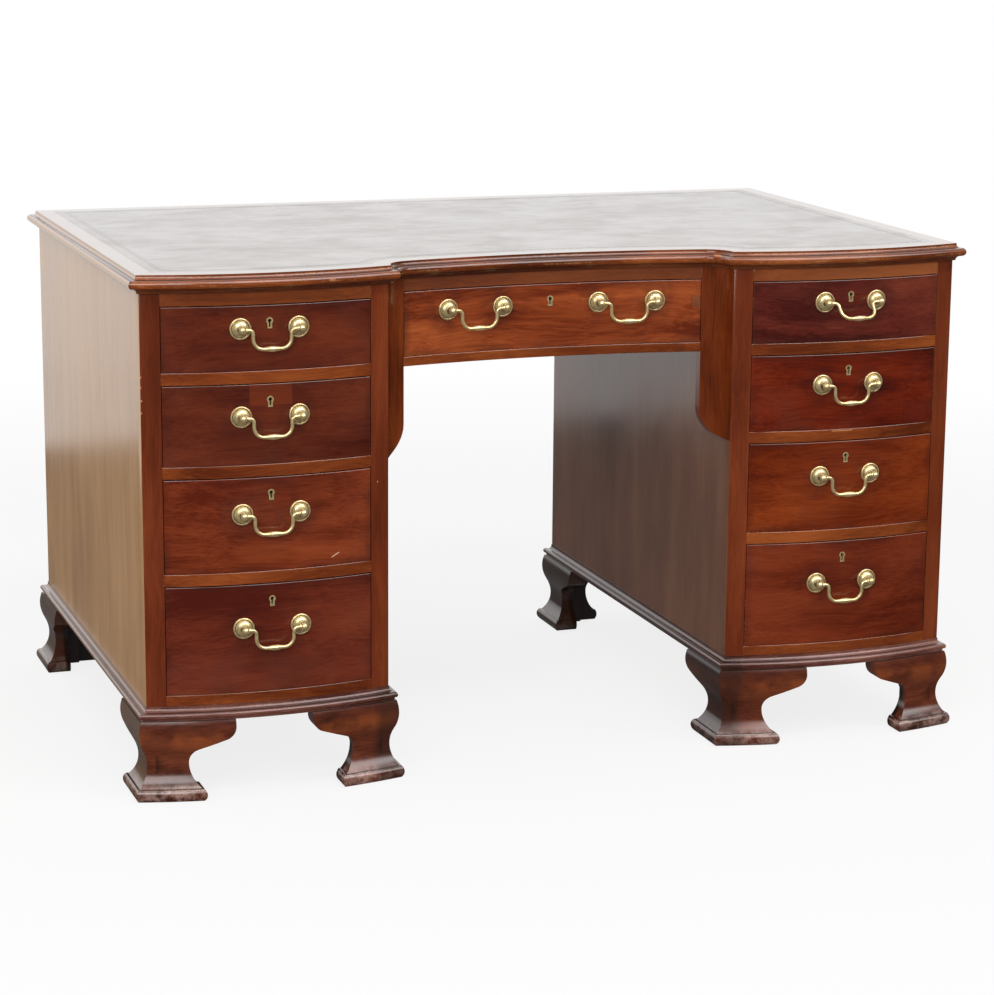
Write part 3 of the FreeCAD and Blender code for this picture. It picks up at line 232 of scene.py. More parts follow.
# Scores and chips: two ends, half width and colour
MARKS = {
    "left_drawer_three": [((-0.370, 0, 0.3545), (-0.359, 0, 0.3605), 0.0007, (206, 176, 150))],
    "front_stiles": [
        ((-0.6495, 0, 0.6350), (-0.6490, 0, 0.6360), 0.0012, (190, 124, 78)),
        ((-0.6495, 0, 0.6205), (-0.6490, 0, 0.6212), 0.0010, (190, 124, 78)),
        ((-0.6495, 0, 0.6005), (-0.6485, 0, 0.6012), 0.0012, (196, 132, 86)),
        ((-0.6495, 0, 0.5825), (-0.6490, 0, 0.5835), 0.0012, (190, 124, 78)),
        ((-0.2950, 0, 0.4600), (-0.2950, 0, 0.4620), 0.0008, (170, 126, 94)),
        ((0.3187, 0, 0.6398), (0.3187, 0, 0.6404), 0.0010, (206, 184, 164)),
    ],
    "drawer_rails": [((0.439, 0, 0.4995), (0.473, 0, 0.4998), 0.0009, (176, 118, 76))],
    "desk_top_border": [
        ((-0.376, 0, 0.7715), (-0.368, 0, 0.7715), 0.0014, (170, 106, 62)),
        ((0.253, 0, 0.7765), (0.259, 0, 0.7765), 0.0014, (170, 106, 62)),
    ],
}


def tint(red, green, blue):
    """A colour as it looks on a screen, in the linear values of a shader."""
    shares = (red / 255, green / 255, blue / 255)
    linear = [share / 12.92 if share < 0.04 else ((share + 0.055) / 1.055) ** 2.4 for share in shares]
    return (*linear, 1.0)


# Recipes: the shader nodes of finishes and of the effects that they share


class Wire:
    """What a recipe works out at each spot: a number, a colour or a place."""

    def __init__(self, recipe, socket):
        self.recipe = recipe
        self.socket = socket

    def __add__(self, other):
        return self.recipe.maths("ADD", self, other)

    def __sub__(self, other):
        return self.recipe.maths("SUBTRACT", self, other)

    def __rsub__(self, other):
        return self.recipe.maths("SUBTRACT", other, self)

    def __mul__(self, other):
        return self.recipe.maths("MULTIPLY", self, other)

    def __truediv__(self, other):
        return self.recipe.maths("DIVIDE", self, other)

    def __abs__(self):
        return self.recipe.maths("ABSOLUTE", self)

    def moved(self, by):
        return self.recipe.vector("ADD", self, by)

    def scaled(self, by):
        return self.recipe.vector("MULTIPLY", self, by)

    def axes(self):
        return self.recipe.wires("ShaderNodeSeparateXYZ", {0: self}).values()

    def noise(self, scale, detail=2.0, roughness=0.5, distortion=0.0):
        names = ("Vector", "Scale", "Detail", "Roughness", "Distortion")
        inputs = zip(names, (self, scale, detail, roughness, distortion))
        return self.recipe.wire("Fac", "ShaderNodeTexNoise", inputs)

    def span(self, low, high, to_low=0.0, to_high=1.0):
        """The value carried from one range to another, and held at its ends."""
        names = ("Value", "From Min", "From Max", "To Min", "To Max")
        inputs = zip(names, (self, low, high, to_low, to_high))
        return self.recipe.wire("Result", "ShaderNodeMapRange", inputs, interpolation_type="SMOOTHSTEP")

    def ramp(self, *stops):
        """Colours that follow the value from stop to stop."""
        made = self.recipe.node("ShaderNodeValToRGB", {0: self})
        band = made.color_ramp.elements
        while len(band) < len(stops):
            band.new(0.5)
        for element, (position, tone) in zip(band, stops):
            element.position = position
            element.color = tint(*tone)
        return Wire(self.recipe, made.outputs["Color"])

    def stained(self, share, tone):
        """This colour, turned into another as far as the share says."""
        return self.recipe.blend(share, self, tint(*tone))

    def bump(self, strength, reach):
        inputs = {"Strength": strength, "Distance": reach, "Height": self}
        return self.recipe.wire("Normal", "ShaderNodeBump", inputs)


class Recipe:
    """The nodes of one finish, effect or world."""

    def __init__(self, tree):
        self.tree = tree

    def feed(self, socket, value):
        if isinstance(value, Wire):
            self.tree.links.new(value.socket, socket)
        else:
            socket.default_value = value

    def node(self, kind, inputs=(), **settings):
        made = self.tree.nodes.new(kind)
        for name, value in settings.items():
            setattr(made, name, value)
        for socket, value in dict(inputs).items():
            self.feed(made.inputs[socket], value)
        return made

    def wire(self, output, kind, inputs=(), **settings):
        """One thing that a new node gives out."""
        return Wire(self, self.node(kind, inputs, **settings).outputs[output])

    def wires(self, kind, inputs=(), **settings):
        """All that a new node gives out, by name."""
        made = self.node(kind, inputs, **settings)
        return {socket.name: Wire(self, socket) for socket in made.outputs}

    def maths(self, operation, *values):
        return self.wire(0, "ShaderNodeMath", enumerate(values), operation=operation)

    def most(self, total, *others):
        for value in others:
            total = self.maths("MAXIMUM", total, value)
        return total

    def least(self, total, *others):
        for value in others:
            total = self.maths("MINIMUM", total, value)
        return total

    def vector(self, operation, *values):
        output = "Value" if operation in ("LENGTH", "DISTANCE", "DOT_PRODUCT") else "Vector"
        return self.wire(output, "ShaderNodeVectorMath", enumerate(values), operation=operation)

    def joined(self, *axes):
        return self.wire(0, "ShaderNodeCombineXYZ", enumerate(axes))

    def blend(self, share, first, second):
        return self.wire(2, "ShaderNodeMix", {0: share, 6: first, 7: second}, data_type="RGBA")

    def effect(self, name, **inputs):
        return self.wires("ShaderNodeGroup", inputs, node_tree=bpy.data.node_groups[name])

    def surface(self, colour, roughness, normal, metallic=0.0, shine=0.5):
        """Ends a finish with its surface."""
        names = ("Base Color", "Roughness", "Normal", "Metallic", "Specular IOR Level")
        looks = zip(names, (colour, roughness, normal, metallic, shine))
        shaded = self.wire("BSDF", "ShaderNodeBsdfPrincipled", looks)
        self.node("ShaderNodeOutputMaterial", {"Surface": shaded})


def fresh_recipe(holder):
    """The empty recipe of a new finish or world."""
    holder.use_nodes = True
    holder.node_tree.nodes.clear()
    return Recipe(holder.node_tree)


def new_effect(name, inputs, outputs):
    """An empty effect with named sockets: its recipe, what comes in, and a function that puts results out."""
    tree = bpy.data.node_groups.new(name, "ShaderNodeTree")
    kinds = {"value": "NodeSocketFloat", "vector": "NodeSocketVector"}
    for socket, kind in inputs.items():
        tree.interface.new_socket(socket, in_out="INPUT", socket_type=kinds[kind])
    for socket in outputs:
        tree.interface.new_socket(socket, in_out="OUTPUT", socket_type="NodeSocketFloat")
    recipe = Recipe(tree)
    return recipe, recipe.wires("NodeGroupInput"), lambda **results: recipe.node("NodeGroupOutput", results)


def wood_grain_effect():
    """Grain along X: broad figure, fine streaks, short pores and soft clouds of colour."""
    outputs = ["Figure", "Streak", "Pores", "Cloud"]
    recipe, arrivals, put = new_effect("wood_grain", {"Place": "vector"}, outputs)
    place = arrivals["Place"]
    sway = recipe.wire("Color", "ShaderNodeTexNoise", {"Vector": place, "Scale": 7.0, "Detail": 2.0})
    offset = sway.moved((-0.5, -0.5, -0.5))
    swayed = place.moved(offset.scaled((0.0, 0.03, 0.03)))
    figure = swayed.scaled((2.6, 24, 24)).noise(1.0, 5.0, 0.6, 0.3)
    streak = swayed.scaled((9, 330, 330)).noise(1.0, 3.0, 0.65)
    pores = swayed.scaled((190, 2300, 2300)).noise(1.0, 1.0).span(0.58, 0.72)
    put(Figure=figure, Streak=streak, Pores=pores, Cloud=place.scaled((4, 8, 8)).noise(1.0, 2.0))


def edge_wear_effect():
    """Rubbed patches: how near an edge is, broken up so that only parts of it are worn."""
    _, arrivals, put = new_effect("edge_wear", {"Place": "vector", "Edge": "value"}, ["Wear"])
    broad = arrivals["Place"].noise(14.0, 3.0)
    fine = arrivals["Place"].noise(240.0, 3.0, 0.6)
    broken = broad * 0.6 + fine * 0.5
    put(Wear=arrivals["Edge"] * broken.span(0.54, 0.74))


def scratches_effect():
    """Sparse hairlines in two directions."""
    recipe, arrivals, put = new_effect("scratches", {"Place": "vector"}, ["Scratch"])
    place = arrivals["Place"]
    x, y, z = place.axes()
    lines = []
    for lean, seed in ((0.35, 3.1), (-0.8, 8.7)):
        leaning = z + x * lean + y * lean
        stretched = recipe.joined((x + y) * 9.0, leaning * 620.0, seed)
        sparse = place.moved((seed, seed, seed)).noise(11.0, 1.0).span(0.55, 0.68)
        lines.append(stretched.noise(1.0, 1.0).span(0.76, 0.8) * sparse)
    put(Scratch=recipe.most(*lines))


def score_effect():
    """A ragged score or chip from one place to another, seen from the front."""
    inputs = {"Place": "vector", "From": "vector", "To": "vector", "Width": "value"}
    recipe, arrivals, put = new_effect("score", inputs, ["Score"])
    place, start = arrivals["Place"], arrivals["From"]
    run = recipe.vector("SUBTRACT", arrivals["To"], start)
    out = recipe.vector("SUBTRACT", place, start).scaled((1.0, 0.0, 1.0))
    along = recipe.vector("DOT_PRODUCT", out, run) / recipe.vector("DOT_PRODUCT", run, run)
    along = recipe.least(recipe.most(along, 0.0), 1.0)
    away = recipe.vector("SUBTRACT", out, run.scaled(along))
    far = recipe.vector("LENGTH", away) / arrivals["Width"] + (place.noise(700.0, 2.0, 0.6) - 0.5)
    _, y, _ = place.axes()
    put(Score=far.span(1.0, 0.6) * recipe.maths("LESS_THAN", y, 0.0))


def patch_effect():
    """A let-in piece with straight sides: 1 inside, 0 outside, with a thin joint round it."""
    inputs = {"Place": "vector", "Centre": "vector", "Reach": "vector"}
    recipe, arrivals, put = new_effect("patch", inputs, ["Inside", "Joint"])
    away = recipe.vector("SUBTRACT", arrivals["Place"], arrivals["Centre"])
    x, _, z = recipe.vector("ABSOLUTE", away).axes()
    reach_x, _, reach_z = arrivals["Reach"].axes()
    depth = recipe.least(reach_x - x, reach_z - z)
    put(Inside=depth.span(-0.0002, 0.0002), Joint=abs(depth).span(0.0008, 0.0002))


for make_effect in (wood_grain_effect, edge_wear_effect, scratches_effect, score_effect, patch_effect):
    make_effect()


# Finishes


def new_finish(name):
    """A new material, and the place of each spot on its piece, which holds the material's recipe."""
    finish = bpy.data.materials.new(name)
    return finish, fresh_recipe(finish).wires("ShaderNodeTexCoord")["Object"]


def facing(here):
    """The way that the surface faces."""
    return here.recipe.wires("ShaderNodeNewGeometry")["Normal"]


def marked(here, name):
    """A mark that the mesh carries on its faces."""
    return here.recipe.wires("ShaderNodeAttribute", attribute_name=name)["Fac"]


def along_x(place):
    return place


def along_y(place):
    x, y, z = place.axes()
    return place.recipe.joined(y, x, z)


def along_z(place):
    x, y, z = place.axes()
    return place.recipe.joined(z, x, y)


def pick_run(place, sideways):
    """Grain along Y where sideways is 1, and else along X."""
    inputs = {0: sideways, 4: place, 5: along_y(place)}
    return place.recipe.wire(1, "ShaderNodeMix", inputs, data_type="VECTOR")


def along_runs(place):
    """Grain that follows each board of a frame: along Y where it faces a side, and else along X."""
    x, _, _ = facing(place).axes()
    return pick_run(place, place.recipe.maths("GREATER_THAN", abs(x), 0.6))


def along_mitres(low, high):
    """Grain of a mitred frame that fills this box in plan."""

    def run(place):
        x, y, _ = place.axes()
        from_side = depth_inside((x, low.x, high.x))
        from_end = depth_inside((y, low.y, high.y))
        return pick_run(place, place.recipe.maths("LESS_THAN", from_side, from_end))

    return run


def depth_inside(*bounds):
    """How deep a spot lies inside bounds: each one a value, its least and its most."""
    depths = [depth for value, low, high in bounds for depth in (value - low, high - value)]
    return depths[0].recipe.least(*depths)


def height_nearness(place, heights, reach):
    """How near one of these heights is: 1 at it, 0 beyond the reach."""
    _, _, z = place.axes()
    return place.recipe.least(*[abs(z - height) for height in heights]).span(reach, 0.0)


def arris_nearness(place):
    """How near an arris is, on a piece whose eased arrises are marked."""
    return marked(place, "arris")


def moulded_edges(heights, reach):
    """Worn edges of a moulding that lie at these heights."""
    return lambda place: height_nearness(place, heights, reach)


def mahogany(name, tones, grain, edge, gloss=0.15, seed=0.0, dressing=None, shine=0.5):
    """French-polished mahogany. tones are its deep, body, pale and rubbed colours."""
    finish, here = new_finish(name)
    recipe = here.recipe
    deep, body, pale, rubbed = tones
    place = grain(here).moved((seed * 1.7, seed * 0.9, seed * 0.4))
    wood = recipe.effect("wood_grain", Place=place)
    tone = wood["Figure"] * 0.43 + wood["Cloud"] * 0.35 + wood["Streak"] * 0.22
    colour = tone.ramp((0.4, deep), (0.5, body), (0.62, pale)).stained(wood["Pores"] * 0.12, deep)
    wear = recipe.effect("edge_wear", Place=here, Edge=edge(here))["Wear"]
    scratch = recipe.effect("scratches", Place=here)["Scratch"]
    colour = colour.stained(wear * 0.45, rubbed).stained(scratch * 0.14, rubbed)
    if dressing:
        colour = dressing(here, colour)
    polish = wood["Cloud"].span(0.25, 0.75, gloss - 0.03, gloss + 0.04)
    rough = polish + wood["Streak"] * 0.03 + wear * 0.12 + scratch * 0.08
    relief = wood["Figure"] * 0.5 + scratch * -0.3
    recipe.surface(colour, rough, relief.bump(0.06, 0.0004), shine=shine)
    return finish


def bare_wood(name, tones, seed):
    """Planed secondary wood, dry and unpolished, along each board."""
    finish, here = new_finish(name)
    deep, body, pale = tones
    wood = here.recipe.effect("wood_grain", Place=along_runs(here).moved((seed, seed, seed)))
    tone = wood["Figure"] * 0.5 + wood["Streak"] * 0.5
    colour = tone.ramp((0.32, deep), (0.5, body), (0.68, pale)).stained(wood["Pores"] * 0.35, deep)
    stain = here.noise(9.0, 4.0, 0.6).span(0.5, 0.75)
    colour = colour.stained(stain * 0.35, (84, 62, 40))
    relief = wood["Streak"] + wood["Pores"]
    here.recipe.surface(colour, wood["Streak"].span(0.2, 0.8, 0.62, 0.8), relief.bump(0.2, 0.0005))
    return finish


def aged_brass(name):
    """Cast brass under old lacquer, pale where it is handled, brown in patches and in its recesses."""
    finish, here = new_finish(name)
    patchy = here.noise(170.0, 4.0, 0.6)
    fine = here.noise(900.0, 3.0, 0.6)
    tarnish = (patchy * 0.7 + fine * 0.3).span(0.44, 0.68)
    colour = here.recipe.blend(tarnish, tint(226, 206, 154), tint(184, 154, 102))
    colour = colour.stained(fine.span(0.62, 0.72) * 0.35, (110, 86, 54))
    colour = colour.stained(marked(here, "recess") * 0.8, (74, 54, 32))
    relief = patchy + fine
    here.recipe.surface(colour, tarnish.span(0.0, 1.0, 0.3, 0.44), relief.bump(0.06, 0.0004), metallic=0.7)
    return finish


def lock_steel(name):
    """Filed iron of the lock bolts."""
    finish, here = new_finish(name)
    filed = here.scaled((1400, 1400, 60)).noise(1.0, 2.0)
    rust = here.noise(130.0, 4.0, 0.6).span(0.55, 0.7)
    colour = here.recipe.blend(filed, tint(118, 114, 108), tint(160, 156, 150)).stained(rust, (96, 62, 42))
    here.recipe.surface(colour, filed.span(0.3, 0.7, 0.35, 0.5), filed.bump(0.1, 0.0002), metallic=1.0)
    return finish


def desk_leather(name):
    """Waxed hide, rubbed grey in long streaks, with darker tooled lines."""
    finish, here = new_finish(name)
    streaks = here.scaled((7.0, 12.0, 1.0)).noise(1.0, 8.0, 0.7, 0.4)
    patches = here.noise(9.0, 8.0, 0.68)
    rubbed = streaks * 0.5 + patches * 0.5
    colour = rubbed.ramp(*zip((0.38, 0.5, 0.62), LEATHER_TONES))
    cells = {"Vector": here, "Scale": 620.0}
    cell_edge = here.recipe.wire("Distance", "ShaderNodeTexVoronoi", cells, feature="DISTANCE_TO_EDGE")
    crease = cell_edge.span(0.12, 0.0)
    tooled = marked(here, "tooled")
    colour = colour.stained(crease * 0.3, (56, 49, 46)).stained(tooled * 0.7, (56, 48, 43))
    shine = rubbed.span(0.38, 0.6, 0.37, 0.5) * tooled.span(0.0, 1.0, 1.0, 0.4)
    pebble = crease * -0.7 + here.noise(40.0, 3.0) * 0.6
    rough = rubbed.span(0.35, 0.62, 0.27, 0.22)
    here.recipe.surface(colour, rough, pebble.bump(0.05, 0.0003), shine=shine)
    return finish


# Dirt, repairs, painted shade and painted light that one wood has and another doesn't


def with_marks(here, colour, name):
    """The colour with the scores and chips of one piece."""
    for start, end, width, tone in MARKS.get(name, ()):
        score = here.recipe.effect("score", Place=here, From=start, To=end, Width=width)["Score"]
        colour = colour.stained(score, tone)
    return colour


def with_crevice_shade(here, colour, heights, reach):
    """The colour with painted shade, dark lines in the quirks of a moulding."""
    return colour.stained(height_nearness(here, heights, reach) * 0.7, (26, 11, 8))


def bleached(here, colour, tone):
    """Wood that light has bleached where it faces out to a side of the desk."""
    out, _, _ = facing(here).scaled(here).axes()
    return colour.stained(out.span(0.4, 0.58) * 0.75, tone)


def kneehole_shade(here, colour):
    """Painted shade on the side that a pedestal turns to the kneehole."""
    x, _, _ = here.axes()
    inner = abs(x).span(KNEEHOLE_LIMIT + 0.03, KNEEHOLE_LIMIT + 0.01)
    return colour.stained(inner * 0.6, (40, 26, 21))


def front_dressing(drawer):
    """Painted shadow and grime round a drawer's roundels, grime round its rim, bloom in its polish, its
    let-in repairs and its scores.
    """
    low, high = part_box(f"{drawer}_front")

    def dressing(here, colour):
        recipe = here.recipe
        for centre, reach, tone in REPAIRS.get(drawer, ()):
            patch = recipe.effect("patch", Place=here, Centre=centre, Reach=reach)
            colour = colour.stained(patch["Inside"] * 0.4, tone).stained(patch["Joint"] * 0.3, (40, 18, 12))
        away = [recipe.vector("DISTANCE", here, tuple(knob)) for knob in knobs_of(drawer)]
        # Darker round each post: handling grime, and painted shadow that the handles cast
        shadow_and_grime = recipe.most(*[distance.span(*POST_SHADOW_AND_GRIME) for distance in away])
        cloudy = here.noise(34.0, 4.0, 0.6).span(0.34, 0.68)
        colour = colour.stained(shadow_and_grime * cloudy * 0.55, (44, 22, 20))
        bloom = here.noise(8.0, 4.0, 0.6).span(0.5, 0.72)
        colour = colour.stained(bloom * 0.25, (84, 48, 38))
        x, _, z = here.axes()
        rim = depth_inside((x, low.x, high.x), (z, low.z, high.z)).span(RIM_GRIME, 0.0)
        patchy = here.noise(13.0, 3.0).span(0.36, 0.66)
        colour = colour.stained(rim * patchy * 0.5, (50, 24, 19))
        return with_marks(here, colour, drawer)

    return dressing


def stile_dressing(here, colour):
    return with_marks(here, colour, "front_stiles")


def rail_dressing(here, colour):
    """Top rails that are paler to the right, as paler wood and as painted light under the top's overhang,
    with painted shade over the hollow drawer, and scores.
    """
    x, _, z = here.axes()
    upper = z.span(RAIL_FOOT, RAIL_MIDDLE)
    # Paler upper rails to the right: paler wood, and painted light where the top's overhang shades them
    colour = colour.stained(upper * x.span(*PALE_RAIL, 0.1, 0.45), (166, 98, 58))
    middle = abs(x).span(FRIEZE_HALF + 0.01, FRIEZE_HALF)
    # Painted shade on the rail over the hollow drawer, under the top's bead
    colour = colour.stained(upper * middle * 0.4, (62, 36, 32))
    return with_marks(here, colour, "drawer_rails")


def border_dressing(here, colour):
    """Bleached ends, a dull brown top, and painted shade in the cove under the bead and in the quirks."""
    colour = bleached(here, colour, (194, 152, 102))
    _, _, up = facing(here).axes()
    colour = colour.stained(up.span(0.9, 0.98) * 0.75, (88, 68, 48))
    _, _, z = here.axes()
    # Painted shade in the cove under the bead
    cove = z.span(BEAD_FOOT + TOP_SHADE_REACH, BEAD_FOOT - TOP_SHADE_REACH)
    colour = colour.stained(cove * 0.55, (52, 28, 23))
    colour = with_crevice_shade(here, colour, (TOP_QUIRK, BEAD_FOOT), TOP_SHADE_REACH)
    return with_marks(here, colour, "desk_top_border")


def base_dressing(here, colour):
    """Bleached outside, with painted shade towards the kneehole and in the quirks."""
    colour = kneehole_shade(here, bleached(here, colour, (140, 108, 78)))
    return with_crevice_shade(here, colour, (BASE_QUIRK, FOOT_TOP), BASE_SHADE_REACH)


def foot_dressing(node):
    """Feet with painted light above, pads with scuffs and painted sheen, and painted shade inside, at the
    back, to the kneehole and in their quirks.
    """
    low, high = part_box(node)

    def dressing(here, colour):
        x, y, z = here.axes()
        # Painted light on the upper belly of each foot, where the ogee turns up to the light
        painted_light = z.span(*FOOT_PAINTED_LIGHT) * z.span(*FOOT_PAINTED_LIGHT_END)
        mottled = here.noise(22.0, 3.0).span(0.35, 0.65)
        colour = bleached(here, colour.stained(painted_light * mottled * 0.4, (156, 80, 38)), (104, 81, 61))
        # Pale scuffs on the pads, standing in also as painted sheen on their top edges
        scuffs_and_sheen = here.noise(60.0, 5.0, 0.65).span(0.36, 0.66)
        on_pad = z.span(PAD_HEIGHT + 0.012, PAD_HEIGHT - 0.004)
        colour = colour.stained(scuffs_and_sheen * on_pad * 0.6, (174, 142, 130))
        colour = with_crevice_shade(here, colour, (FOOT_TOP, PAD_HEIGHT), FOOT_SHADE_REACH)
        # Painted shade towards the kneehole and on the rear feet
        colour = kneehole_shade(here, colour).stained(y.span(*REAR_SHADE, 0.0, 0.5), (48, 36, 29))
        # Painted shade deep inside each foot, where the brackets keep the light out
        inside = depth_inside((x, low.x, high.x), (y, low.y, high.y))
        return colour.stained(inside.span(*FOOT_INSIDE_SHADE), (34, 20, 15))

    return dressing


# Meshes


def linked(name, data):
    """A new object of the scene that shows this mesh, lamp or camera."""
    made = bpy.data.objects.new(name, data)
    bpy.context.scene.collection.objects.link(made)
    return made


def place_piece(name, mesh, body, finishes, node):
    """Links a finished mesh as a piece that rides on a body and stands for a solid."""
    piece = linked(name, mesh)
    mesh.materials.clear()
    for finish in finishes:
        mesh.materials.append(finish)
    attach(piece, body)
    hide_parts(node)
    return piece


def mesh_of(shape, name, sharp_angle):
    """The mesh of a shape, smooth but for its sharp arrises and the rims of its level faces."""
    for face in shape.faces:
        face.smooth = True
    for edge in shape.edges:
        level = {abs(face.normal.z) > 0.9999 for face in edge.link_faces}
        edge.smooth = edge.calc_face_angle(0.0) < sharp_angle and len(level) == 1
    return plain_mesh(shape, name)


def plain_mesh(shape, name):
    mesh = bpy.data.meshes.new(name)
    shape.to_mesh(mesh)
    shape.free()
    return mesh


def merged_copy(node):
    """A node's shape with its triangles joined up, its flat faces whole and none where two solids touch."""
    shape = bmesh.new()
    shape.from_mesh(nodes[node].data)
    same = bmesh.ops.find_doubles(shape, verts=shape.verts, dist=SAME_PLACE)["targetmap"]
    faces_at = {}
    for face in shape.faces:
        corners = frozenset(same.get(vert, vert) for vert in face.verts)
        faces_at.setdefault(corners, []).append(face)
    touching = [face for faces in faces_at.values() if len(faces) > 1 for face in faces]
    bmesh.ops.delete(shape, geom=touching, context="FACES")
    bmesh.ops.remove_doubles(shape, verts=shape.verts, dist=SAME_PLACE)
    bmesh.ops.dissolve_limit(shape, angle_limit=FLAT, verts=shape.verts, edges=shape.edges)
    return shape


def weld(shape):
    """Joins what lies in one place and turns all faces out."""
    bmesh.ops.remove_doubles(shape, verts=shape.verts, dist=SAME_PLACE)
    bmesh.ops.recalc_face_normals(shape, faces=shape.faces)


def sharp_edges(shape):
    return [edge for edge in shape.edges if edge.is_manifold and edge.calc_face_angle(0.0) > ARRIS]


def ease(shape, edges, reach):
    """Rounds these edges over and marks what is rounded for the wear of its finish."""
    arris = shape.faces.layers.float.new("arris")
    eased = bmesh.ops.bevel(
        shape,
        geom=edges,
        offset=reach,
        segments=2,
        profile=0.5,
        affect="EDGES",
        material=-1,
        clamp_overlap=True,
    )
    for face in eased["faces"]:
        face[arris] = 1.0


# Case


def eased_boards(node, finishes):
    """Boards of the case with all their arrises eased."""
    shape = merged_copy(node)
    ease(shape, sharp_edges(shape), EASING[node])
    mesh = mesh_of(shape, node, BOARD_EDGE)
    return place_piece(f"{node}_eased", mesh, "case", finishes, node)


def joined_feet(node, finish):
    """A pedestal's feet, each one whole round its mitre, with smooth ogees."""
    mesh = mesh_of(merged_copy(node), node, MOULDING_EDGE)
    place_piece(f"{node}_joined", mesh, "case", [finish], node)


def arc(centre, start, end, steps):
    """Points of an arc from its start to just short of its end, the short way round its centre."""
    first = math.atan2(start[1] - centre[1], start[0] - centre[0])
    turn = math.atan2(end[1] - centre[1], end[0] - centre[0]) - first
    turn = (turn + math.pi) % math.tau - math.pi
    radius = math.dist(centre, start)
    points = []
    for step in range(steps):
        angle = first + turn * step / steps
        points.append((centre[0] + radius * math.cos(angle), centre[1] + radius * math.sin(angle)))
    return points


def bead_and_cove(overhang, bead, nose, ledge, cove):
    """Upper part of a moulding's section, out from the case and up from its foot: bead, ledge and cove."""
    shoulder = overhang - bead
    foot = (shoulder - ledge, nose + bead)
    head = (foot[0] - cove, foot[1] + cove)
    low_round = arc((shoulder, nose), (shoulder, nose - bead), (overhang, nose), 8)
    high_round = arc((shoulder, nose), (overhang, nose), (shoulder, nose + bead), 8)
    hollow = arc((foot[0], head[1]), foot, head, 6)
    return [*low_round, *high_round, (shoulder, nose + bead), *hollow, head]


def top_section():
    """Section of the top's border: a small cove, then bead, cove and fillet, and its flat."""
    shoulder = TOP_OVERHANG - TOP_BEAD
    under = arc((shoulder, 0), (shoulder - UNDER_COVE, 0), (shoulder, UNDER_COVE), 6)
    upper = bead_and_cove(TOP_OVERHANG, TOP_BEAD, UNDER_COVE + TOP_BEAD, TOP_LEDGE, TOP_COVE)
    edge = upper[-1][0]
    height = DESK_TOP - CASE_TOP
    return [(edge - LEATHER_MARGIN, 0), *under, *upper, (edge, height), (edge - LEATHER_MARGIN, height)]


def base_section():
    """Section of a base moulding with the frame behind it."""
    upper = bead_and_cove(BASE_OVERHANG, BASE_BEAD, BASE_NOSE, BASE_LEDGE, BASE_COVE)
    shoulder = BASE_OVERHANG - BASE_BEAD
    edge = upper[-1][0]
    height = BASE_TOP - FOOT_TOP
    return [(-BASE_FRAME, 0), (shoulder, 0), *upper, (edge, height), (-BASE_FRAME, height)]


def bow_line(middle):
    """Plan of a pedestal's bowed front, from its left corner to just short of its right one."""
    half = PEDESTAL_WIDTH / 2
    centre = (middle, FRONT - BOW_RISE + BOW_RADIUS)
    return arc(centre, (middle - half, FRONT), (middle + half, FRONT), 28)


def pedestal_line(middle):
    """Plan of a pedestal, from its left back corner round by the front."""
    half = PEDESTAL_WIDTH / 2
    return [(middle - half, BACK), *bow_line(middle), (middle + half, FRONT), (middle + half, BACK)]


def desk_line():
    """Plan of the whole case, from its left back corner round by the two bows, the coves and the hollow."""
    half = PEDESTAL_MIDDLE + PEDESTAL_WIDTH / 2
    inner = PEDESTAL_MIDDLE - PEDESTAL_WIDTH / 2
    setback = FRONT + FRIEZE_SETBACK
    reach = inner - FRIEZE_HALF
    sine = FRIEZE_HALF / HOLLOW_RADIUS
    cosine = math.sqrt(1 - sine**2)
    radius = (reach**2 + FRIEZE_SETBACK**2) / (2 * (cosine * FRIEZE_SETBACK - sine * reach))
    cove_x = FRIEZE_HALF - radius * sine
    cove_y = setback - radius * cosine
    left_cove = arc((-cove_x, cove_y), (-inner, FRONT), (-FRIEZE_HALF, setback), 12)
    hollow = arc((0, HOLLOW_CREST - HOLLOW_RADIUS), (-FRIEZE_HALF, setback), (FRIEZE_HALF, setback), 32)
    right_cove = arc((cove_x, cove_y), (FRIEZE_HALF, setback), (inner, FRONT), 12)
    front = [*bow_line(-PEDESTAL_MIDDLE), *left_cove, *hollow, *right_cove, *bow_line(PEDESTAL_MIDDLE)]
    return [(-half, BACK), *front, (half, FRONT), (half, BACK)]


def stations(line):
    """Each point of a closed plan, with the way that an offset goes there and how sharp the turn is."""
    found = []
    for before, point, after in zip(line[-1:] + line[:-1], line, line[1:] + line[:1]):
        came = (Vector(point) - Vector(before)).normalized()
        goes = (Vector(after) - Vector(point)).normalized()
        both = came + goes
        way = Vector((both.y, -both.x)) / (1 + came.dot(goes))
        found.append((Vector(point), way, came.angle(goes)))
    return found


def offset_place(point, way, out, corners):
    """Where a section's point lies at a station: held at a corner's mitre that it would cross."""
    run = Vector((-way.y, way.x))
    place = point + way * out
    for corner, corner_way in corners:
        mitred = corner + corner_way * out
        crossed = (point - corner).dot(run) * (place - mitred).dot(run) < 0
        if crossed and (point - corner).length < 2 * abs(out):
            return mitred
    return place


def run_moulding(shape, section, line, foot):
    """Runs a section round a closed plan, mitred at its corners."""
    found = stations(line)
    corners = [(point, way) for point, way, turn in found if turn > MITRE]
    rings = []
    for point, way, _ in found:
        places = [(*offset_place(point, way, out, corners), foot + up) for out, up in section]
        rings.append([shape.verts.new(place) for place in places])
    for ring, following in zip(rings, rings[1:] + rings[:1]):
        for step, vert in enumerate(ring):
            shape.faces.new((ring[step - 1], following[step - 1], following[step], vert))


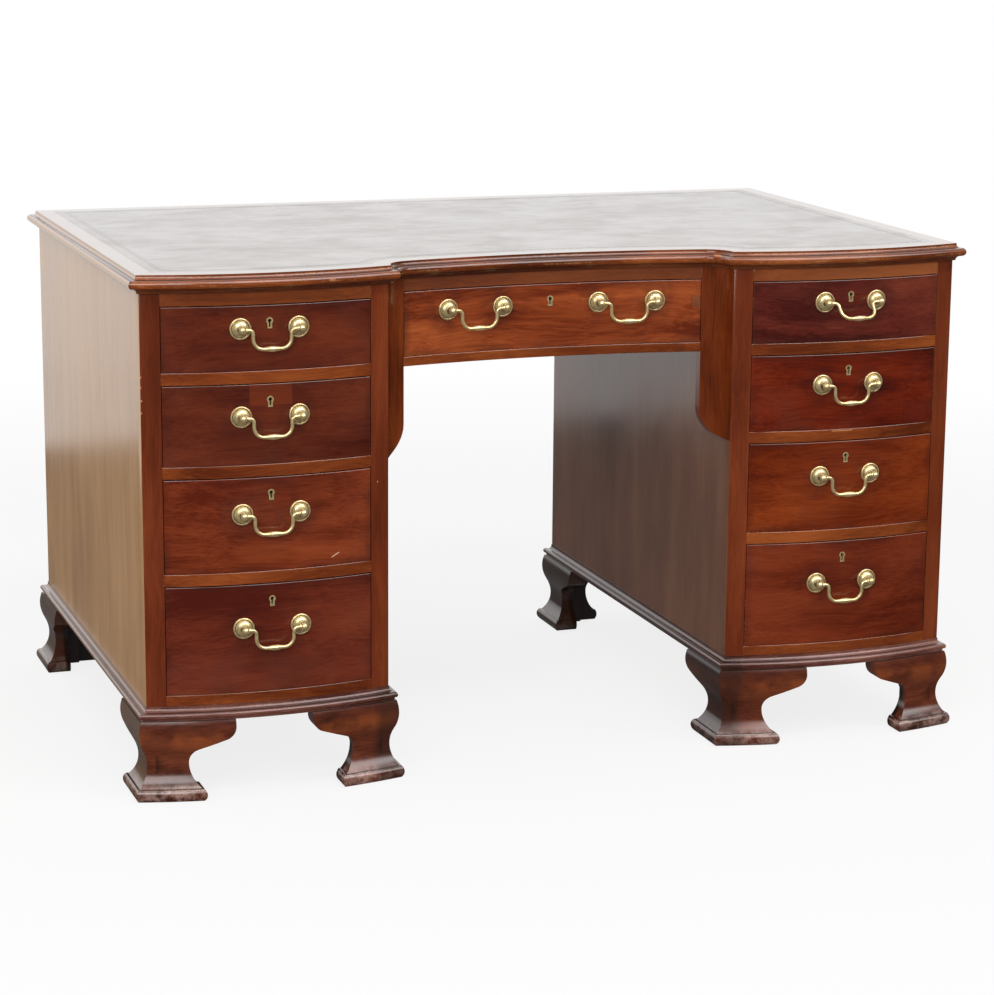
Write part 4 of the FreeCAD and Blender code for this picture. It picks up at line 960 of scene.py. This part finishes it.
def moulded_piece(node, section, lines, foot, finish):
    """A moulding as one smooth run round each of these plans."""
    shape = bmesh.new()
    for line in lines:
        run_moulding(shape, section, line, foot)
    weld(shape)
    mesh = mesh_of(shape, node, MOULDING_EDGE)
    place_piece(f"{node}_run", mesh, "case", [finish], node)


def largest_level_face(shape):
    level = [face for face in shape.faces if face.normal.z > 0.99]
    return max(level, key=lambda face: face.calc_area())


def writing_leather(finish):
    """The hide with two tooled lines round it and one along each of its two seams."""
    shape = merged_copy("writing_leather")
    tooled = shape.faces.layers.float.new("tooled")
    top = largest_level_face(shape)
    cut = top.calc_area()
    for gap in TOOLED_GAPS:
        bmesh.ops.inset_region(shape, faces=[top], thickness=gap, use_even_offset=True)
        for depth in (-TOOLED_DEPTH, TOOLED_DEPTH):
            ring = bmesh.ops.inset_region(
                shape, faces=[top], thickness=TOOLED_WIDTH, depth=depth, use_even_offset=True
            )
            for face in ring["faces"]:
                face[tooled] = 1.0
    for seam in (-SEAM, SEAM):
        inner = [top, *top.edges, *top.verts]
        parted = bmesh.ops.bisect_plane(
            shape, geom=inner, dist=SAME_PLACE, plane_co=(seam, 0, 0), plane_no=(1, 0, 0)
        )
        line = [part for part in parted["geom_cut"] if isinstance(part, bmesh.types.BMEdge)]
        strip = bmesh.ops.bevel(
            shape, geom=line, offset=TOOLED_WIDTH, segments=1, profile=0.5, affect="EDGES", material=-1
        )
        for face in strip["faces"]:
            face[tooled] = 0.6
        top = largest_level_face(shape)
    mesh = mesh_of(shape, "writing_leather", LEATHER_EDGE)
    leather = place_piece("writing_leather_tooled", mesh, "case", [finish], "writing_leather")


# Drawers and handles


def drawer_front(drawer, finish):
    """A drawer's front with the rim of its show face eased."""
    node = f"{drawer}_front"
    low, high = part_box(node)
    shape = merged_copy(node)

    def at_rim(vert):
        return min(vert.co.x - low.x, high.x - vert.co.x, vert.co.z - low.z, high.z - vert.co.z) < AT_RIM

    rim = [edge for edge in sharp_edges(shape) if all(at_rim(vert) for vert in edge.verts)]
    shown = [edge for edge in rim if min(face.normal.y for face in edge.link_faces) < -0.6]
    ease(shape, shown, FRONT_EASING)
    mesh = mesh_of(shape, node, BOARD_EDGE)
    place_piece(f"{node}_eased", mesh, drawer, [finish], node)


def knob_places(bail):
    """Middles of the two ball ends that carry a bail."""
    hinge = joints[f"{bail}_hinge"]
    middle = Vector(hinge["pos_m"])
    half = Vector(hinge["axis"]).normalized() * KNOB_SPACING / 2
    return middle + half, middle - half


def knobs_of(drawer):
    return [knob for bail in BAILS if bail.startswith(drawer) for knob in knob_places(bail)]


def post_section(shank):
    """Half section of a post: its shank, its roundel's rolled rim, groove and dome, its neck and its ball."""
    rim_x, rim_z = RIM_MIDDLE
    rim_head = (rim_x, rim_z + RIM_RADIUS)
    rim = arc(RIM_MIDDLE, (rim_x + RIM_RADIUS, rim_z), rim_head, 4)
    dome = arc(DOME_MIDDLE, DOME_FOOT, DOME_HEAD, 6)
    neck = arc(NECK_MIDDLE, NECK_FOOT, NECK_HEAD, 5)
    ball = arc((0.0, KNOB_REACH), BALL_FOOT, BALL_HEAD, 8)
    below = [(0.0, -shank), (SHANK_RADIUS, -shank), (SHANK_RADIUS, 0.0), ROUNDEL_FOOT]
    return [*below, *rim, rim_head, *GROOVE, *dome, DOME_HEAD, *neck, NECK_HEAD, *ball, BALL_HEAD]


def post_shape(shank):
    """One turned post, upright on its roundel's back, with a shank below it."""
    shape = bmesh.new()
    ring = [shape.verts.new((radius, 0.0, height)) for radius, height in post_section(shank)]
    line = [shape.edges.new(pair) for pair in zip(ring, ring[1:])]
    bmesh.ops.spin(
        shape, geom=ring + line, cent=(0, 0, 0), axis=(0, 0, 1), angle=math.tau, steps=40, use_merge=True
    )
    weld(shape)
    recess = shape.faces.layers.float.new("recess")
    for face in shape.faces:
        middle = face.calc_center_median()
        radius = math.hypot(middle.x, middle.y)
        in_groove = DOME_FOOT[0] < radius < GROOVE[0][0] and middle.z > GROOVE[1][1]
        in_neck = radius < DOME_HEAD[0] and DOME_HEAD[1] < middle.z < NECK_HEAD[1]
        face[recess] = 1.0 if in_groove or in_neck else 0.0
    return shape


def outward_at(drawer, ball):
    """The way that a post points: square to the bow or the hollow of its front."""
    if drawer == "centre_drawer":
        return (Vector((0.0, HOLLOW_CREST - HOLLOW_RADIUS, ball.z)) - ball).normalized()
    low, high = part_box(f"{drawer}_front")
    return (ball - Vector(((low.x + high.x) / 2, BOW_CREST + BOW_RADIUS, ball.z))).normalized()


def drop_island_at(shape, point):
    """Takes away the whole solid nearest to a point."""
    start = min(shape.verts, key=lambda vert: (vert.co - point).length)
    island, waiting = {start}, [start]
    while waiting:
        for edge in waiting.pop().link_edges:
            for vert in edge.verts:
                if vert not in island:
                    island.add(vert)
                    waiting.append(vert)
    bmesh.ops.delete(shape, geom=list(island), context="VERTS")


def brass_fittings(drawer, finish):
    """A drawer's turned posts, with its lock case, keyhole liner and nuts as the solids have them."""
    node = f"{drawer}_fittings"
    shank = HOLLOW_SHANK if drawer == "centre_drawer" else BOW_SHANK
    shape = merged_copy(node)
    balls = knobs_of(drawer)
    for ball in balls:
        drop_island_at(shape, ball)
    for ball in balls:
        outward = outward_at(drawer, ball)
        turn = outward.to_track_quat("Z", "Y").to_matrix().to_4x4()
        place = Matrix.Translation(ball - outward * KNOB_REACH)
        post = post_shape(shank)
        bmesh.ops.transform(post, matrix=place @ turn, verts=post.verts)
        spare = plain_mesh(post, "post")
        shape.from_mesh(spare)
        bpy.data.meshes.remove(spare)
    mesh = mesh_of(shape, node, POST_EDGE)
    place_piece(f"{drawer}_brass", mesh, drawer, [finish], node)


def run_on(shape, ring, place, girth):
    """Carries a rod's open end straight on to a place, and swells or thins it to a radius."""
    grown = bmesh.ops.extrude_edge_only(shape, edges=ring)["geom"]
    rim = [part for part in grown if isinstance(part, bmesh.types.BMVert)]
    middle = sum((vert.co for vert in rim), Vector()) / len(rim)
    swell = girth / (rim[0].co - middle).length
    bmesh.ops.scale(shape, vec=(swell, swell, swell), space=Matrix.Translation(-middle), verts=rim)
    bmesh.ops.translate(shape, vec=Vector(place) - middle, verts=rim)
    return [part for part in grown if isinstance(part, bmesh.types.BMEdge) and part.is_boundary]


def bend_on(shape, ring, centre, angle):
    """Carries a rod's open end on round a bend."""
    rim = list({vert for edge in ring for vert in edge.verts})
    bent = bmesh.ops.spin(shape, geom=ring + rim, cent=centre, axis=(0, 1, 0), angle=angle, steps=8)
    return [part for part in bent["geom_last"] if isinstance(part, bmesh.types.BMEdge)]


def bail_shape():
    """A swan-neck bail that hangs from the X axis, with a collar by each post and a swelling grip."""
    shape = bmesh.new()
    right_angle = math.radians(90)
    stand = Matrix.Translation((-BAIL_PIN, 0, 0)) @ Matrix.Rotation(right_angle, 4, "Y")
    bmesh.ops.create_circle(shape, cap_ends=True, segments=14, radius=BAIL_ROD, matrix=stand)
    ring = shape.edges[:]
    for step, girth in BAIL_COLLAR_STEPS:
        ring = run_on(shape, ring, (step - BAIL_COLLAR, 0, 0), girth)
    ring = run_on(shape, ring, (-BAIL_LEG - BAIL_TOP_BEND, 0, 0), BAIL_ROD)
    ring = bend_on(shape, ring, (-BAIL_LEG - BAIL_TOP_BEND, 0, -BAIL_TOP_BEND), right_angle)
    low_end = BAIL_LOW_BEND - BAIL_DROP
    ring = run_on(shape, ring, (-BAIL_LEG, 0, low_end), BAIL_ROD)
    ring = bend_on(shape, ring, (BAIL_LOW_BEND - BAIL_LEG, 0, low_end), -right_angle)
    grip = BAIL_LEG - BAIL_LOW_BEND
    for share, swell in BAIL_GRIP_SWELL:
        girth = BAIL_ROD + (BAIL_GRIP_ROD - BAIL_ROD) * swell
        ring = run_on(shape, ring, (-grip * share, 0, -BAIL_DROP), girth)
    half = shape.verts[:] + shape.edges[:] + shape.faces[:]
    bmesh.ops.mirror(shape, geom=half, axis="X", merge_dist=MIRROR_JOIN)
    weld(shape)
    return shape


def hang_bail(bail, finish):
    """A bail in its posts, turned as its hinge lies and tilted if it is stuck."""
    hinge = joints[f"{bail}_hinge"]
    along = -Vector(hinge["axis"])
    turn = Matrix.Rotation(math.atan2(along.y, along.x), 4, "Z")
    tilt = Matrix.Rotation(-STUCK_ANGLE if bail == STUCK_BAIL else 0.0, 4, "X")
    shape = bail_shape()
    bmesh.ops.transform(shape, matrix=Matrix.Translation(hinge["pos_m"]) @ turn @ tilt, verts=shape.verts)
    mesh = mesh_of(shape, bail, BAIL_EDGE)
    place_piece(f"{bail}_cast", mesh, bail, [finish], bail)


# Dressing the desk


def coat(node, finish):
    """Gives a solid its finish."""
    mesh = nodes[node].data
    mesh.materials.clear()
    mesh.materials.append(finish)


def dress_frame():
    """Stiles, rails, brackets, sides and back."""
    stile = mahogany("stile_mahogany", STILE_TONES, along_z, arris_nearness, 0.16, 2.0, stile_dressing)
    rail = mahogany("rail_mahogany", RAIL_TONES, along_x, arris_nearness, 0.16, 5.0, rail_dressing)
    bracket = mahogany("bracket_mahogany", BRACKET_TONES, along_z, arris_nearness, 0.16, 9.0)
    side = mahogany("side_mahogany", SIDE_TONES, along_z, arris_nearness, 0.17, 14.0)
    kneehole = mahogany("kneehole_mahogany", KNEEHOLE_TONES, along_z, arris_nearness, 0.15, 17.0, shine=0.65)
    back = mahogany("back_mahogany", BACK_TONES, along_z, arris_nearness, 0.2, 19.0)
    stiles = eased_boards("front_stiles", [stile, side, kneehole])
    for face in stiles.data.polygons:
        sideways = abs(face.normal.x) > 0.7
        if sideways and abs(face.center.x) > SIDE_LIMIT:
            face.material_index = 1
        if sideways and abs(face.center.x) < KNEEHOLE_LIMIT:
            face.material_index = 2
    for node, finish in (("drawer_rails", rail), ("kneehole_brackets", bracket), ("back_panels", back)):
        eased_boards(node, [finish])
    for hand in HANDS:
        boards = eased_boards(f"{hand}_pedestal_sides", [side, kneehole, back])
        for face in boards.data.polygons:
            face.material_index = 1 if abs(face.center.x) < PEDESTAL_MIDDLE else 0
            if face.normal.y > 0.7:
                face.material_index = 2


def dress_mouldings():
    """The moulded border of the top, the base mouldings and the feet."""
    low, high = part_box("desk_top_border")
    grain = along_mitres(Vector((low.x, FRONT - TOP_OVERHANG, low.z)), high)
    edges = moulded_edges((DESK_TOP - 0.0035, BEAD_FOOT + 0.005), MOULDING_WEAR)
    border = mahogany("border_mahogany", BORDER_TONES, grain, edges, 0.1, 21.0, border_dressing)
    moulded_piece("desk_top_border", top_section(), [desk_line()], CASE_TOP, border)
    edges = moulded_edges((BASE_TOP - 0.004, FOOT_TOP + 0.004), MOULDING_WEAR)
    base = mahogany("base_mahogany", BASE_TONES, along_runs, edges, 0.15, 25.0, base_dressing)
    pedestals = [pedestal_line(-PEDESTAL_MIDDLE), pedestal_line(PEDESTAL_MIDDLE)]
    moulded_piece("base_mouldings", base_section(), pedestals, FOOT_TOP, base)
    edges = moulded_edges((PAD_HEIGHT,), PAD_WEAR)
    for number, node in enumerate(("left_feet", "right_feet")):
        dressing = foot_dressing(node)
        foot = mahogany(f"{node}_mahogany", FOOT_TONES, along_runs, edges, 0.16, 29.0 + number, dressing)
        joined_feet(node, foot)


def dress_drawers():
    """Drawers with their locks and handles, and what carries them inside the case."""
    lining = bare_wood("lining_wood", LINING_TONES, 4.0)
    brass = aged_brass("aged_brass")
    steel = lock_steel("lock_steel")
    for node in ("drawer_runners", "bottom_boards", "desk_top_core"):
        coat(node, lining)
    for number, drawer in enumerate(DRAWERS):
        tones = FRONT_TONES[drawer]
        seed = 31.0 + 3.0 * number
        dressing = front_dressing(drawer)
        front = mahogany(f"{drawer}_mahogany", tones, along_x, arris_nearness, 0.17, seed, dressing)
        drawer_front(drawer, front)
        coat(f"{drawer}_box", lining)
        coat(f"{drawer}_lock_bolt", steel)
        brass_fittings(drawer, brass)
    for bail in BAILS:
        hang_bail(bail, brass)


# Floor, light and camera


def studio_floor():
    """A pale floor that fades out round the desk. In the polish it is dim as far as the white wall behind."""
    shape = bmesh.new()
    bmesh.ops.create_circle(shape, cap_ends=True, segments=96, radius=FLOOR_RADIUS)
    floor = linked("floor", plain_mesh(shape, "floor"))
    floor.location = (0, 0, FLOOR_HEIGHT)
    finish, place = new_finish("pale_floor")
    recipe = place.recipe
    _, y, _ = place.axes()
    path = recipe.wires("ShaderNodeLightPath")
    mirror = recipe.most(y.span(*NEAR_FLOOR, 0.02, 0.14), y.span(*FAR_WALL, 0.0, 0.86))
    mirrored = recipe.wire(0, "ShaderNodeEmission", {"Strength": mirror})
    white = recipe.wire(0, "ShaderNodeEmission", {"Strength": 1.03})
    clear = recipe.wire(0, "ShaderNodeBsdfTransparent")
    rim = recipe.vector("LENGTH", place).span(0.45 * FLOOR_RADIUS, 0.95 * FLOOR_RADIUS)
    surface = recipe.wire(0, "ShaderNodeBsdfDiffuse", {"Color": (0.6, 0.6, 0.6, 1.0)})
    layers = ((path["Is Camera Ray"] * 0.8, white), (rim, clear), (path["Is Glossy Ray"], mirrored))
    for share, over in layers:
        surface = recipe.wire(0, "ShaderNodeMixShader", {0: share, 1: surface, 2: over})
    recipe.node("ShaderNodeOutputMaterial", {"Surface": surface})
    floor.data.materials.append(finish)


def studio_world():
    """White to the camera, plain fill for the wood, and in the polish a bright wall behind.

    In front the polish sees little but a high window, which draws the lights on mouldings and feet.
    """
    world = bpy.data.worlds.new("studio")
    bpy.context.scene.world = world
    recipe = fresh_recipe(world)
    x, y, z = recipe.wires("ShaderNodeTexCoord")["Generated"].axes()
    wall = y.span(-0.3, 0.45, 0.04, 1.0) * z.span(-0.21, -0.12, 0.84, 1.08)
    window = y.span(0.2, 0.6) * z.span(0.02, 0.18) * 0.6
    ceiling = z.span(0.4, 0.65)
    ahead = y.span(-0.3, -0.55) * x.span(-0.1, 0.15)
    high_window = ahead * z.span(0.3, 0.45) * z.span(0.85, 0.7) * 7.0
    room = recipe.most(wall + window, ceiling, high_window)
    fill = z.span(-0.3, 0.7, 0.42, 0.78)
    path = recipe.wires("ShaderNodeLightPath")
    seen = recipe.most(path["Is Camera Ray"], path["Is Transmission Ray"])
    glossy = path["Is Glossy Ray"]
    plain = 1.0 - recipe.most(seen, glossy)
    light = {"Color": (1.0, 1.0, 1.0, 1.0), "Strength": seen + glossy * room + plain * fill}
    recipe.node("ShaderNodeOutputWorld", {"Surface": recipe.wire(0, "ShaderNodeBackground", light)})


def soft_lamp(name, place, aim, size, power):
    """A large soft lamp."""
    lamp = bpy.data.lights.new(name, "AREA")
    lamp.shape = "RECTANGLE"
    lamp.size, lamp.size_y = size
    lamp.energy = power
    holder = linked(name, lamp)
    holder.location = place
    holder.rotation_euler = (Vector(aim) - Vector(place)).to_track_quat("-Z", "Y").to_euler()


def photo_camera():
    """The camera where the photograph was taken from."""
    camera = bpy.data.cameras.new("photo_camera")
    camera.lens = LENS
    camera.sensor_width = SENSOR_WIDTH
    camera.clip_end = 60.0
    level_share = math.cos(CAMERA_PITCH)
    ahead_x = math.sin(CAMERA_YAW) * level_share
    ahead_y = math.cos(CAMERA_YAW) * level_share
    ahead = Vector((ahead_x, ahead_y, -math.sin(CAMERA_PITCH)))
    level = Vector((math.cos(CAMERA_YAW), -math.sin(CAMERA_YAW), 0.0))
    upright = level.cross(ahead)
    right = level * math.cos(CAMERA_ROLL) + upright * math.sin(CAMERA_ROLL)
    up = upright * math.cos(CAMERA_ROLL) - level * math.sin(CAMERA_ROLL)
    turn = Matrix((right, up, -ahead)).transposed().to_4x4()
    holder = linked("photo_camera", camera)
    holder.matrix_world = Matrix.Translation(CAMERA_PLACE) @ turn
    bpy.context.scene.camera = holder


dress_frame()
dress_mouldings()
dress_drawers()
writing_leather(desk_leather("desk_leather"))
studio_floor()
studio_world()
soft_lamp("key_lamp", **KEY_LAMP)
soft_lamp("overhead_lamp", **OVERHEAD_LAMP)
photo_camera()
bpy.context.scene.view_settings.view_transform = "Standard"
